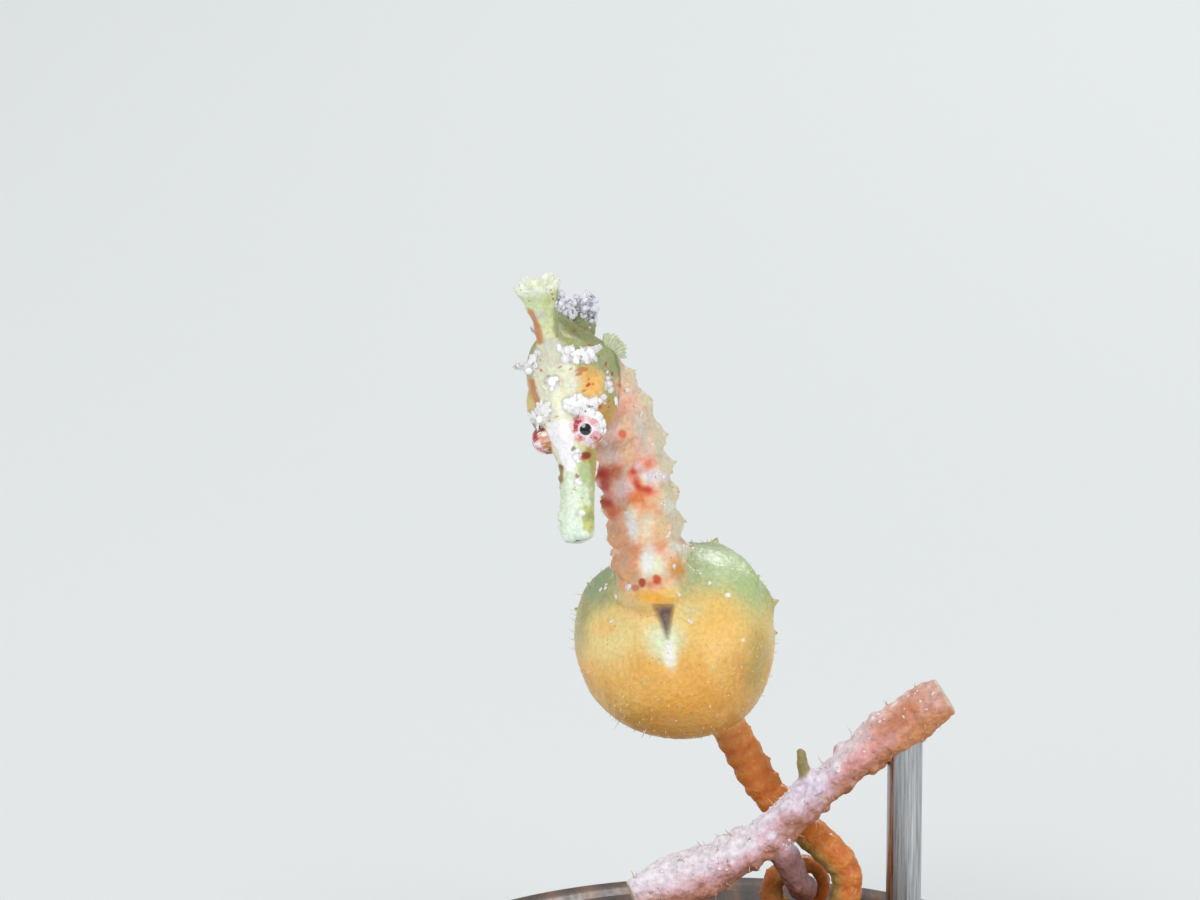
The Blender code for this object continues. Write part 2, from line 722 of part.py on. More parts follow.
def pouch_axes():
    axis = Vector(POUCH_AXIS).normalized()
    front = across(Vector((-math.sin(BELLY_TURN), -1.0, -0.25)), axis)
    return axis, front, front.cross(axis)


def pouch_point(share, angle, grow=0.0):
    """A point of the pouch's skin: share runs from -1 at the trunk to 1 at the tail."""
    axis, front, left = pouch_axes()
    back = 0.5 - 0.5 * math.cos(math.radians(angle))
    bend = math.sqrt(max(0.0, 1 - share * share))
    ring = 0.5 - 0.5 * math.cos(math.pi * (share + 1) * POUCH_RINGS)
    ridge = peak(angle, POUCH_RIDGES, 16)
    relief = back * bend * (POUCH_RING_HEIGHT * ring + POUCH_RIDGE_HEIGHT * ridge * (0.3 + 0.7 * ring))
    radius = (POUCH_RADIUS * (1 - POUCH_EGG * share) + relief) * bend + grow * bend
    a = math.radians(angle)
    out = axis * share * (POUCH_HALF_LENGTH + grow) + (front * math.cos(a) + left * math.sin(a)) * radius
    swell = sum(height * math.exp(-(out.angle(Vector(lobe)) / POUCH_LOBE_SPREAD) ** 2)
                for lobe, height in POUCH_LOBES)
    return Vector(POUCH_CENTRE) + out * (1 + swell)


def pouch_solid(grow, where):
    rings = []
    for i in range(1, POUCH_BANDS):
        share = -math.cos(math.pi * i / POUCH_BANDS)
        rings.append([pouch_point(share, 360 * k / POUCH_AROUND, grow) for k in range(POUCH_AROUND)])
    return loft("brood_pouch", rings, where)


def slit_place():
    """Where the slit's middle lies on the pouch, and which way it faces."""
    out = Vector(SLIT_DIRECTION).normalized()
    return Vector(POUCH_CENTRE) + out * (POUCH_RADIUS - 0.02), out


def make_pouch(parts):
    pouch = pouch_solid(0.0, parts)
    forms = collection("pouch_forms")
    middle, out = slit_place()
    stretch = SLIT_LENGTH / SLIT_WIDTH / 2
    hoop(middle - out * 0.02, out, SLIT_WIDTH * 1.15, LIP_RADIUS, forms, 16, 5, stretch)
    for ring in range(POUCH_RINGS):
        share = (ring + 0.5) * 2 / POUCH_RINGS - 1
        for angle in POUCH_RIDGES:
            place = pouch_point(share, angle)
            outward = (place - Vector(POUCH_CENTRE)).normalized()
            cone(place - outward * 0.08, outward, 0.19, 0.13, 0.02, 5, forms)
    combine(pouch, forms, "UNION")
    cuts = collection("pouch_cuts")
    turn = out.to_track_quat("Z", "Y").to_matrix()
    ball(middle, (SLIT_WIDTH / 2, SLIT_LENGTH / 2, SLIT_DEPTH), turn, cuts, 14, 8)
    dorsal_fin(cuts, GAP)
    combine(pouch, cuts, "DIFFERENCE")
    put_in_scene(pouch, "brood_pouch", "pouch", 0.45)


def dorsal_fin(where, grow=0.0):
    """The fin on the back of the pouch, next to the tail."""
    axis, _, left = pouch_axes()

    def skin(share):
        return pouch_point(DORSAL_FROM + (DORSAL_TO - DORSAL_FROM) * share, 180)

    def outward(share):
        return (skin(share) - Vector(POUCH_CENTRE)).normalized()

    def root(share):
        return skin(share) - outward(share) * DORSAL_SUNK

    def reach(share):
        long = DORSAL_SUNK + DORSAL_HEIGHT * (0.75 + 0.25 * math.sin(math.pi * share))
        return root(share) + (outward(share) * 0.9 + axis * 0.25).normalized() * long

    return fin("fin_dorsal", root, reach, lambda share: left, DORSAL_RAYS, where, grow)


# Tail

def coil_axes():
    """Right and up in the coil's plane, and the direction that its turns advance in."""
    away = Vector((0, math.cos(COIL_DIP), -math.sin(COIL_DIP)))
    up = Vector((0, math.sin(COIL_DIP), math.cos(COIL_DIP)))
    return Vector((1, 0, 0)), up, away


def coil_points():
    """The coil's middle line with the tail's radius, turning clockwise as seen from the front."""
    right, up, away = coil_axes()
    points = []
    for i in range(COIL_STEPS + 1):
        share = i / COIL_STEPS
        angle = COIL_START + (COIL_END - COIL_START) * share
        tighten = min(1.0, (angle - COIL_START) / COIL_TIGHTEN)
        radius = COIL_OUTER + (COIL_INNER - COIL_OUTER) * tighten ** 1.5
        place = (Vector(COIL_CENTRE) + right * radius * math.sin(angle) + up * radius * math.cos(angle)
                 + away * COIL_ADVANCE * share ** 1.1)
        thick = TAIL_ROUTE[-1][3] + (TAIL_TIP_RADIUS - TAIL_ROUTE[-1][3]) * share ** 0.9
        points.append((*place, thick))
    return points


def tail_belly(place):
    return Vector(COIL_CENTRE) - place


def make_tail(parts):
    tail = Route([point for point in TAIL_ROUTE] + coil_points(), steps=12)
    cuts = [*TAIL_CUTS, tail.length]
    names = ("tail_base", "tail_loop", "tail_coil", "tail_tip")
    for name, start, end in zip(names, cuts, cuts[1:]):
        part = ringed_length(name, tail, start + GAP / 2, end - GAP / 2, tail_belly, TAIL_STYLE, parts)
        if name == "tail_base":
            ball_cut = collection("ball_cut")
            pouch_solid(GAP, ball_cut)
            combine(part, ball_cut, "DIFFERENCE")
        put_in_scene(part, name, "tail", 0.5)


# Perch and stand

def stem_ring(route, along, phase):
    """A slightly knotted round section."""
    values = route.read(along)
    forward = route.tangent(along)
    side = across(Vector((0, 0, 1)), forward)
    round_ = forward.cross(side)
    points = []
    for i in range(STEM_AROUND):
        a = 2 * math.pi * i / STEM_AROUND
        lump = 1 + 0.07 * math.sin(2 * a + 3.1 * along + phase) + 0.05 * math.sin(3 * a - 5.3 * along)
        points.append(Vector(values[:3]) + (side * math.cos(a) + round_ * math.sin(a)) * values[3] * lump)
    return points


def stem_tube(points, step, where, phase=0.0):
    route = Route(points)
    count = max(3, round(route.length / step))
    return loft("stem", [stem_ring(route, route.length * i / count, phase) for i in range(count + 1)], where)


def rod(place, low, high, radius, where):
    return cone((*place, low), (0, 0, 1), high - low, radius, radius, ROD_AROUND, where)


def rod_top(place):
    """The height of the seat that a rod has in the stem above it."""
    nearest = min(STEM_ROUTE, key=lambda point: (point[0] - place[0]) ** 2 + (point[1] - place[1]) ** 2)
    return nearest[2] - 0.35 * nearest[3]


def make_perch(parts):
    perch = stem_tube(STEM_ROUTE, 0.26, parts)
    forks = collection("forks")
    stem_tube(TWIG_ROUTE, 0.24, forks, 1.0)
    stem_tube(BRACT_ROUTE, 0.20, forks, 2.0)
    combine(perch, forks, "UNION")
    seats = collection("seats")
    for place in ROD_PLACES.values():
        rod(place, 0, rod_top(place), ROD_RADIUS + GAP, seats)
    combine(perch, seats, "DIFFERENCE")
    put_in_scene(perch, "perch_stem", "stem", 0.7)


def make_stand(parts):
    bm = bmesh.new()
    bmesh.ops.create_cone(bm, cap_ends=True, segments=56, depth=BASE_HEIGHT,
                          radius1=BASE_RADIUS, radius2=BASE_RADIUS)
    bmesh.ops.translate(bm, vec=(0, 0, BASE_HEIGHT / 2), verts=bm.verts)
    top = [edge for edge in bm.edges if all(vert.co.z > BASE_HEIGHT * 0.9 for vert in edge.verts)]
    bmesh.ops.bevel(bm, geom=top, offset=BASE_EDGE, segments=2, profile=0.5, affect="EDGES")
    base = new_object("stand_base", bm, parts)
    sockets = collection("sockets")
    for place in ROD_PLACES.values():
        rod(place, BASE_HEIGHT - ROD_SOCKET, BASE_HEIGHT * 2, ROD_RADIUS + GAP, sockets)
    combine(base, sockets, "DIFFERENCE")
    put_in_scene(base, "stand_base", "wood", 0.4)
    for name, place in ROD_PLACES.items():
        upright = rod(place, BASE_HEIGHT - ROD_SOCKET + GAP, rod_top(place) - GAP, ROD_RADIUS, parts)
        put_in_scene(upright, name, "steel", 0.3, 1.0)


def main():
    clear_scene()
    parts = collection("pygmy_seahorse")
    body = Route(BODY_ROUTE)
    make_snout(parts)
    make_head(parts)
    make_eyes(parts)
    make_coronet(parts)
    make_trunk(parts, body)
    make_side_pieces(parts, body)
    make_pouch(parts)
    put_in_scene(dorsal_fin(parts), "fin_dorsal", "fin", 0.4)
    make_tail(parts)
    make_perch(parts)
    make_stand(parts)


main()
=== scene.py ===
import itertools
import math
import random
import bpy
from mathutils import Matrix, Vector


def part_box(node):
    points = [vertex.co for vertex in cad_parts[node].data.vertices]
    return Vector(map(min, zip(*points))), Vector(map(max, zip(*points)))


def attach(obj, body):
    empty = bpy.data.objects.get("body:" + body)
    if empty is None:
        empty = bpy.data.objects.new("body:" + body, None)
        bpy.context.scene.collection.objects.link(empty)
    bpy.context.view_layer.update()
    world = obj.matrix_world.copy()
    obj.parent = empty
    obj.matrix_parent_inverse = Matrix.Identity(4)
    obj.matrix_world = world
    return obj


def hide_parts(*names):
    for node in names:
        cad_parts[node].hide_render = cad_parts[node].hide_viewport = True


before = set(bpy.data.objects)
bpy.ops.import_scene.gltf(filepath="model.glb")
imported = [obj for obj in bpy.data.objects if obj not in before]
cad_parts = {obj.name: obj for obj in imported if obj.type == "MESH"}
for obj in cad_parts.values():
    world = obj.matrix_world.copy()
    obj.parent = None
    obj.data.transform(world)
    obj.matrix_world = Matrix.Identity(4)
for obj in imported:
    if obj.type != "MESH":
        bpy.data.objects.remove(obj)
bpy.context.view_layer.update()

from types import SimpleNamespace

import bmesh
import bpy
import numpy as np
from mathutils import Matrix, Vector
from mathutils.bvhtree import BVHTree

# Shapes are worked out in millimetres in the row's frame and scaled to metres as they are placed.
MM = 0.001
UP = np.array((0.0, 0.0, 1.0))
SKIN_VOXEL = 0.020
PERCH_VOXEL = 0.030

# The nodes that the one skin stands for.
FLESH_NODES = (
    "head", "snout", "coronet", "neck", "nape_wing_left", "nape_wing_right", "trunk_upper", "trunk_lower",
    "brood_pouch", "tail_base", "tail_loop", "tail_coil", "tail_tip",
)

# Head: local X is the animal's left, -Y its snout and +Z its crown.
HEAD_ORIGIN = np.array((-2.26, -1.46, 9.78))
HEAD_HEADING, HEAD_DOWN, HEAD_ROLL = math.radians(7), math.radians(53), math.radians(-28)
# Distance back from the eyes, shift to the left, half width, height above and below, squareness.
HEAD_STATIONS = (
    (-1.60, 0.030, 0.210, 0.160, 0.160, 2.8),
    (-1.48, 0.035, 0.240, 0.185, 0.185, 2.8),
    (-1.18, 0.055, 0.235, 0.185, 0.190, 2.8),
    (-0.85, 0.085, 0.238, 0.190, 0.210, 2.8),
    (-0.52, 0.100, 0.250, 0.235, 0.310, 2.5),
    (-0.25, 0.070, 0.300, 0.295, 0.420, 2.3),
    (0.05, 0.020, 0.340, 0.340, 0.500, 2.2),
    (0.40, 0.0, 0.440, 0.385, 0.620, 2.1),
    (0.75, 0.0, 0.520, 0.460, 0.700, 2.0),
    (1.05, 0.0, 0.520, 0.540, 0.660, 2.0),
    (1.30, 0.0, 0.420, 0.560, 0.520, 2.0),
    (1.50, 0.0, 0.200, 0.440, 0.260, 2.0),
)
HEAD_SIDES, HEAD_ROWS = 88, 120
GILL_COVER_CENTRE, GILL_COVER_SIZE = (0.335, 0.60, -0.26), (0.31, 0.48, 0.48)
GILL_FAN, GILL_STRIAE = (0.30, 0.16, -0.20), 26
# Root, direction, length and radius of the spines on the head's left; the right ones mirror them.
HEAD_SPINES = (
    ((0.22, 0.16, 0.26), (0.5, 0.1, 0.9), 0.20, 0.10),
    ((0.36, 0.42, -0.30), (0.9, 0.0, -0.5), 0.30, 0.09),
    ((0.40, 1.14, 0.10), (0.9, 0.1, 0.2), 0.28, 0.10),
    ((0.10, 0.62, 0.36), (0.3, 0.0, 0.9), 0.17, 0.09),
)
CHEEK_SPINE = HEAD_SPINES[2]
BROW_SPINE = ((0.01, -0.12, 0.22), (0, -0.3, 1), 0.11, 0.08)
# Distance back, distance out and size of the knobs behind the brow.
BROW_KNOBS = ((0.95, 0.36, 0.06), (1.18, 0.24, 0.05))
# Upper lips, one on each side, and the lower lip: place and half axes.
UPPER_LIP, UPPER_LIP_SIZE = (0.10, 0.0, 0.055), (0.11, 0.055, 0.095)
LOWER_LIP, LOWER_LIP_SIZE = (0.0, 0.01, -0.075), (0.155, 0.055, 0.08)
# A round tubercle on the snout and a blunt one on its left edge: place, half axes, sides, rows.
SNOUT_TUBERCLES = (
    ((0.185, -1.30, 0.180), (0.058, 0.058, 0.060), 18, 12),
    ((0.275, -1.44, 0.09), (0.05, 0.06, 0.05), 16, 10),
)
SNOUT_KNOBS_FROM, SNOUT_KNOBS_TO = -1.52, -0.45
CREST_FROM, CREST_TO, CREST_WIDTH, CREST_HEIGHT, CREST_SUNK = -0.25, 1.15, 0.15, 0.095, 0.06
# Place, reach and depth of the nostril and the gill pore of the left side.
NOSTRIL, GILL_PORE = (0.17, -0.34, 0.27), (0.20, 1.05, 0.44)
HEAD_PITS = ((NOSTRIL, 0.045, 0.035), (GILL_PORE, 0.05, 0.04))
MOUTH_MIDDLE, MOUTH_LEVEL = 0.03, -0.005

EYE_RADIUS = 0.225
EYE_PLACE, EYE_ASIDE = (0.28, 0.0, 0.05), 0.04
# Where each socket opens and each iris looks, on the head's left (1) and right (-1).
EYE_LOOKS = {1: (0.20, -0.36, 0.91), -1: (-0.93, -0.25, 0.15)}
IRIS_LOOKS = {1: (0.27, -0.36, 0.89), -1: (-0.93, -0.25, 0.15)}
ORBIT_INSET, ORBIT_RADIUS = 0.12, 0.255
# The eyeball stands out past its socket; the lid is a low hoop behind its rim.
EYE_OUT, LID_DEPTH, LID_HOOP = 0.055, 0.035, (0.228, 0.024)
EYE_ROWS, EYE_SIDES = 90, 160
# Radians from the middle of the eye to the clear front's edge, the iris flutes and the pupil's rim.
CORNEA_EDGE, CORNEA_BULGE = 1.2, 0.035
FLUTES_FROM, FLUTES_TO, FLUTES, FLUTE_DEPTH = 0.36, 1.25, 22, 0.006
PUPIL_RIM = 0.43
# White scales on the lid: degrees from the rear corner, and size.
LID_PADS = ((-14, 0.048), (10, 0.062), (38, 0.076), (68, 0.082), (97, 0.078), (122, 0.060))

CORONET_SEAT, CORONET_AXIS = (0.03, 1.06, 0.38), (0.10, 0.74, 0.66)
CORONET_HEIGHT, CORONET_KNOBS, CORONET_SIDES = 1.15, 5, 80
# Share of the height, and radius.
CORONET_STATIONS = (
    (-0.10, 0.30), (0.10, 0.235), (0.20, 0.20), (0.38, 0.175),
    (0.58, 0.19), (0.78, 0.25), (0.93, 0.32), (1.0, 0.33),
)
# The cup inside the rim: share of the rim's radius, and height over it.
CORONET_CUP = ((0.90, 0.02), (0.72, -0.03), (0.45, -0.12), (0.15, -0.15))

# Nape and trunk: X, Y, Z, half width and half depth.
BODY_ROUTE = (
    (-2.55, -0.60, 11.23, 0.20, 0.22),
    (-2.36, -0.46, 10.97, 0.29, 0.31),
    (-2.12, -0.33, 10.67, 0.38, 0.39),
    (-1.84, -0.06, 10.26, 0.43, 0.44),
    (-1.46, 0.07, 9.52, 0.46, 0.49),
    (-1.29, 0.07, 8.72, 0.50, 0.54),
    (-1.17, 0.08, 8.09, 0.50, 0.55),
    (-1.07, 0.14, 7.46, 0.51, 0.56),
    (-0.96, 0.30, 6.76, 0.52, 0.57),
    (-0.86, 0.56, 6.20, 0.50, 0.50),
)
BELLY_TURN = math.radians(14)
TRUNK_RING, TRUNK_RING_HEIGHT, TRUNK_RIDGE_HEIGHT = 0.44, 0.09, 0.13
# Degrees from the belly; the ridges of the flanks have the longer knobs.
TRUNK_RIDGES, FLANK_RIDGES = (0, 52, 104, 152, 208, 256, 308), (52, 104, 256, 308)
KNOB_RINGS, SWELL_RINGS, SWELL_ANGLES = range(3, 12), range(4, 12), (0, 26, 334, 78, 282)
RIDGE_WIDTH = 24

POUCH_CENTRE = np.array((-0.65, 0.84, 5.96))
POUCH_AXIS = (0.37, 0.44, -0.82)
POUCH_HALF_LENGTH, POUCH_RADIUS, POUCH_EGG = 1.40, 1.44, 0.09
POUCH_RINGS, POUCH_RIDGES, POUCH_RIDGE_WIDTH = 5, (110, 155, 205, 250), 16
POUCH_RING_HEIGHT, POUCH_RIDGE_HEIGHT = 0.05, 0.09
POUCH_THORN, POUCH_THORN_RADIUS, POUCH_THORN_SUNK = 0.165, 0.11, 0.08
# Direction and height of the lobes that make the pouch uneven.
POUCH_LOBES = (((-0.85, 0.14, 0.50), 0.08), ((0.58, 0.21, 0.78), 0.07), ((0.65, -0.20, -0.73), 0.05))
POUCH_LOBE_SPREAD = 0.50

# Tail: X, Y, Z and radius down to the perch, then a coil that turns clockwise as seen from the front.
TAIL_ROUTE = (
    (-0.10, 1.10, 5.05, 0.28),
    (0.08, 1.13, 4.68, 0.27),
    (0.31, 1.12, 4.26, 0.26),
    (0.62, 1.03, 3.75, 0.255),
    (0.97, 0.90, 3.36, 0.25),
)
COIL_CENTRE, COIL_DIP = np.array((1.20, 0.47, 2.32)), math.radians(15)
COIL_START, COIL_END, COIL_TIGHTEN = math.radians(30), math.radians(590), math.radians(300)
COIL_OUTER, COIL_INNER, COIL_ADVANCE, COIL_STEPS = 0.70, 0.34, 1.0, 15
TAIL_TIP_RADIUS, TAIL_RING, TAIL_RELIEF = 0.05, 0.27, 0.7
TAIL_RING_HEIGHT, TAIL_RIDGE_HEIGHT = 0.09 * TAIL_RELIEF, 0.14 * TAIL_RELIEF
TAIL_RIDGES, TAIL_KNOB_ANGLES, TAIL_BARE_TIP = (45, 135, 225, 315), (135, 225), 0.5

# Flaps on the nape: length along the body, angle from the belly, length and curl.
WING_AT, WING_ANGLE, WING_LENGTH, WING_CURL, WING_SEAT = 0.56, 143, 0.60, 0.16, 0.80
# Share of the flap's length, half width and half thickness.
WING_STATIONS = ((0, 0.19, 0.10), (0.35, 0.22, 0.075), (0.65, 0.21, 0.06),
                 (0.88, 0.16, 0.045), (1, 0.08, 0.03))

PECTORAL_AT, PECTORAL_ANGLE, PECTORAL_ROOT, PECTORAL_LENGTH = 1.03, 100, 0.24, 0.42
PECTORAL_SPREAD, PECTORAL_RAYS, PECTORAL_THICK = math.radians(86), 10, 0.07
DORSAL_HEIGHT, DORSAL_SUNK, DORSAL_FROM, DORSAL_TO = 0.48, 0.14, 0.30, 0.80
DORSAL_RAYS, DORSAL_THICK = 14, 0.08
FIN_NOTCH, FIN_RAY_HEIGHT, FIN_RIPPLE = 0.10, 0.020, 0.02

# Perch: X, Y, Z and radius of the stem, the twig in the coil and the small bract.
STEM_ROUTE = (
    (-1.30, -0.20, 2.34, 0.34),
    (-0.85, -0.12, 2.52, 0.39),
    (-0.25, -0.03, 2.76, 0.36),
    (0.50, 0.10, 3.12, 0.31),
    (1.15, 0.22, 3.67, 0.27),
    (1.89, 0.42, 4.29, 0.30),
    (2.70, 0.54, 4.87, 0.34),
    (3.30, 0.60, 5.25, 0.31),
)
TWIG_ROUTE = (
    (0.72, 0.14, 3.26, 0.20),
    (0.98, 0.06, 2.86, 0.20),
    (1.18, 0.14, 2.44, 0.20),
    (1.20, 0.62, 2.28, 0.19),
    (1.20, 1.10, 2.15, 0.18),
    (1.20, 1.62, 2.02, 0.15),
)
BRACT_ROUTE = ((1.30, 0.27, 3.80, 0.13), (1.22, 0.30, 4.15, 0.12), (1.16, 0.32, 4.52, 0.07))
BASE_RADIUS, BASE_HEIGHT, BASE_EDGE, BASE_SIDES = 5.2, 1.0, 0.22, 220
ROD_RADIUS, ROD_SIDES = 0.26, 72
ROD_PLACES = {"stand_rod_right": (-0.85, -0.12), "stand_rod_left": (2.70, 0.54)}
# Distance out from the rod and height over the base, round a collar.
COLLAR_PROFILE = ((0.002, 0.0), (0.14, 0.0), (0.14, 0.07), (0.11, 0.10), (0.04, 0.10), (0.002, 0.13))
SHARP_ANGLE = math.radians(35)

# Camera of the photo: focus point, elevation, distance and pixels to a millimetre at the focus.
FOCUS = np.array((-1.8, -1.8, 9.65))
ELEVATION = math.radians(15)
DISTANCE, PIXELS = 110.0, 70.0
PHOTO_SIZE = (1200, 900)
SENSOR = 36.0
VIEW_RIGHT = np.array((1.0, 0.0, 0.0))
VIEW = np.array((0.0, math.cos(ELEVATION), -math.sin(ELEVATION)))
VIEW_UP = np.array((0.0, math.sin(ELEVATION), math.cos(ELEVATION)))

# Studio. Lamps: name, direction, distance and size in millimetres, power in watts, colour.
LAMPS = (
    ("key", (-0.55, -0.75, 0.95), 150, 90, 0.115, (1.0, 0.98, 0.95)),
    ("fill", (0.95, -0.85, 0.15), 170, 120, 0.118, (1.0, 0.98, 0.96)),
    ("rim", (0.35, 0.95, 0.85), 150, 70, 0.070, (1.0, 0.99, 0.97)),
)
LAMP_TARGET = Vector((-1.0, 0.0, 7.5))
# Radius and height of the floor's rings; it bends up far behind the object.
FLOOR_RINGS = ((1, 0), (60, 0), (260, 0), (420, 0), (560, 12), (680, 60), (760, 160), (800, 400))
FLOOR_SIDES = 96
AIR_COLOUR, AIR_STRENGTH = (244, 244, 242), 0.50


# Numbers and noise

def rgb(red, green, blue):
    """A colour given as 0 to 255, in the linear values that Blender mixes."""
    values = np.array((red, green, blue)) / 255
    return np.where(values <= 0.04045, values / 12.92, ((values + 0.055) / 1.055) ** 2.4)


def step(value, low, high):
    """Nought below low, one above high, smooth between."""
    t = np.clip((value - low) / (high - low), 0, 1)
    return t * t * (3 - 2 * t)


def unit(vector):
    vector = np.asarray(vector, float)
    return vector / np.linalg.norm(vector)


def hashed(x, y, z, seed):
    """A number from 0 to 1 for each cell of a grid."""
    n = x * 73856093 ^ y * 19349663 ^ z * 83492791 ^ (seed * 2654435761 & 0x7fffffff)
    n = (n ^ (n >> 13)) * 1274126177 & 0x7fffffff
    n = (n ^ (n >> 15)) * 668265263 & 0x7fffffff
    return (n & 0xffffff) / 0xffffff


def cloud(points, frequency, seed=0, octaves=1):
    """Smooth noise from -1 to 1 at each point."""
    total, weight = np.zeros(len(points)), 0.0
    for octave in range(octaves):
        p = points * frequency * 2 ** octave
        cell = np.floor(p).astype(np.int64)
        f = p - cell
        f = f * f * (3 - 2 * f)
        value = np.zeros(len(points))
        for corner in itertools.product((0, 1), repeat=3):
            share = 1.0
            for k, far in enumerate(corner):
                share = share * (f[:, k] if far else 1 - f[:, k])
            value += share * hashed(*(cell + corner).T, seed + octave)
        total += (value * 2 - 1) * 0.5 ** octave
        weight += 0.5 ** octave
    return total / weight


def cells(points, frequency, seed=0):
    """Distance to the nearest and second nearest of scattered middles, and the nearest one's number."""
    p = points * frequency
    base = np.floor(p).astype(np.int64)
    first, second = np.full(len(p), 9.0), np.full(len(p), 9.0)
    mark = np.zeros(len(p))
    for shift in itertools.product((-1, 0, 1), repeat=3):
        cell = (base + shift).T
        middle = np.stack([cell[k] + hashed(*cell, seed + 1 + k) for k in range(3)], 1)
        away = np.linalg.norm(middle - p, axis=1)
        nearer = away < first
        second = np.where(nearer, first, np.minimum(second, away))
        mark = np.where(nearer, hashed(*cell, seed + 4), mark)
        first = np.where(nearer, away, first)
    return first / frequency, second / frequency, mark


# Routes and closed surfaces

class Route:
    """A smooth curve through rows of X, Y, Z and sizes, read by the length along it."""

    def __init__(self, points, steps=24):
        p = np.array(points, float)
        last = len(p) - 1
        rows = []
        for n in range(last * steps + 1):
            i = min(n // steps, last - 1)
            t = n / steps - i
            a, b, c, d = p[max(i - 1, 0)], p[i], p[i + 1], p[min(i + 2, last)]
            rows.append(0.5 * (2 * b + (c - a) * t + (2 * a - 5 * b + 4 * c - d) * t * t
                               + (3 * b - a - 3 * c + d) * t ** 3))
        self.rows = np.array(rows)
        gaps = np.linalg.norm(np.diff(self.rows[:, :3], axis=0), axis=1)
        self.along = np.concatenate([[0.0], np.cumsum(gaps)])
        self.length = self.along[-1]

    def read(self, along):
        return np.array([np.interp(along, self.along, self.rows[:, k]) for k in range(self.rows.shape[1])])

    def tangent(self, along, reach=0.03):
        return unit(self.read(along + reach)[:3] - self.read(along - reach)[:3])

    def nearest(self, points):
        """For each point: length along the route, distance from it over its radius, and its middle."""
        stops = np.linspace(0, self.length, 260)
        rows = np.array([self.read(s) for s in stops])
        best = np.full(len(points), 1e9)
        index = np.zeros(len(points), int)
        for i, row in enumerate(rows):
            away = np.linalg.norm(points - row[:3], axis=1)
            nearer = away < best
            best[nearer], index[nearer] = away[nearer], i
        return stops[index], best / rows[index, 3], rows[index, :3]


def across(vector, axis):
    """The part of a vector that lies square to an axis, one long."""
    return unit(vector - axis * np.dot(vector, axis))


def frame_of(axis):
    """A turn whose third column is the axis."""
    z = unit(axis)
    x = across(np.array((1.0, 0.0, 0.0)) if abs(z[0]) < 0.8 else np.array((0.0, 1.0, 0.0)), z)
    return np.stack([x, np.cross(z, x), z], 1)


def peak(angle, centres, width):
    """One at each of the centres, falling to nought a width of degrees away."""
    nearest = np.min([np.abs((angle - centre + 180) % 360 - 180) for centre in centres], axis=0)
    return np.maximum(0.0, 1.0 - nearest / width)


def circle(count):
    """Angles round a full turn."""
    return np.linspace(0, 2 * math.pi, count, endpoint=False)


def disc(angles, radius, height=0.0):
    """Points round a circle at a height over the XY plane."""
    return np.stack([np.cos(angles) * radius, np.sin(angles) * radius, np.full(len(angles), height)], 1)


def some_way(draw):
    """A direction at random."""
    return unit([draw.gauss(0, 1) for _ in range(3)])


def some_shift(draw):
    """A shift at random within a cube."""
    return np.array([draw.uniform(-1, 1) for _ in range(3)])


def mesh_of(name, points, faces):
    made = bpy.data.meshes.new(name)
    made.from_pydata([tuple(p) for p in points], [], faces)
    made.update()
    return made


class Surfaces:
    """Closed surfaces, gathered for one mesh."""

    def __init__(self):
        self.points, self.faces, self.count = [], [], 0

    def rings(self, rings):
        """Adds a closed surface through rings of equal count."""
        rings = np.asarray(rings)
        rows, around, _ = rings.shape
        first = self.count
        self.points.append(rings.reshape(-1, 3))
        self.points.append(np.array([rings[0].mean(0), rings[-1].mean(0)]))
        low, high = first + rows * around, first + rows * around + 1
        for r in range(rows - 1):
            for i in range(around):
                j = (i + 1) % around
                a, b = first + r * around, first + (r + 1) * around
                self.faces.append((a + i, a + j, b + j, b + i))
        end = first + (rows - 1) * around
        for i in range(around):
            j = (i + 1) % around
            self.faces.append((first + j, first + i, low))
            self.faces.append((end + i, end + j, high))
        self.count += rows * around + 2

    def ball(self, centre, size, turn, around=28, rows=18):
        """Adds an ellipsoid with half axes size along the columns of turn."""
        angles = circle(around)
        rings = []
        for r in range(1, rows):
            a = math.pi * r / rows
            local = np.stack([np.cos(angles) * math.sin(a) * size[0], np.sin(angles) * math.sin(a) * size[1],
                              np.full(around, -math.cos(a) * size[2])], 1)
            rings.append(np.asarray(centre) + local @ np.asarray(turn).T)
        self.rings(rings)

    def hoop(self, centre, axis, major, minor, around=48, sides=12):
        """Adds a ring about the axis."""
        turn = frame_of(axis)
        first = self.count
        grid = []
        for i in range(around):
            a = 2 * math.pi * i / around
            out = np.array((math.cos(a), math.sin(a), 0.0))
            for k in range(sides):
                roll = 2 * math.pi * k / sides
                local = out * (major + math.cos(roll) * minor) + np.array((0, 0, math.sin(roll) * minor))
                grid.append(np.asarray(centre) + turn @ local)
                j, m = (i + 1) % around, (k + 1) % sides
                self.faces.append((first + i * sides + k, first + j * sides + k,
                                   first + j * sides + m, first + i * sides + m))
        self.points.append(np.array(grid))
        self.count += around * sides

    def thorn(self, base, direction, length, radius, sides=12):
        """Adds a spine with a round tip, its sides drawn in towards the point."""
        turn = frame_of(direction)
        rings = []
        for share in (0.0, 0.15, 0.3, 0.5, 0.7, 0.85, 0.95, 1.0):
            r = radius * ((1 - share) ** 1.35 * 0.82 + 0.18) * (0.55 if share == 1 else 1)
            rings.append(np.asarray(base) + disc(circle(sides), r, share * length) @ turn.T)
        self.rings(rings)

    def mesh(self, name):
        return mesh_of(name, np.concatenate(self.points), self.faces)


def new_object(name, mesh):
    thing = bpy.data.objects.new(name, mesh)
    bpy.context.scene.collection.objects.link(thing)
    return thing


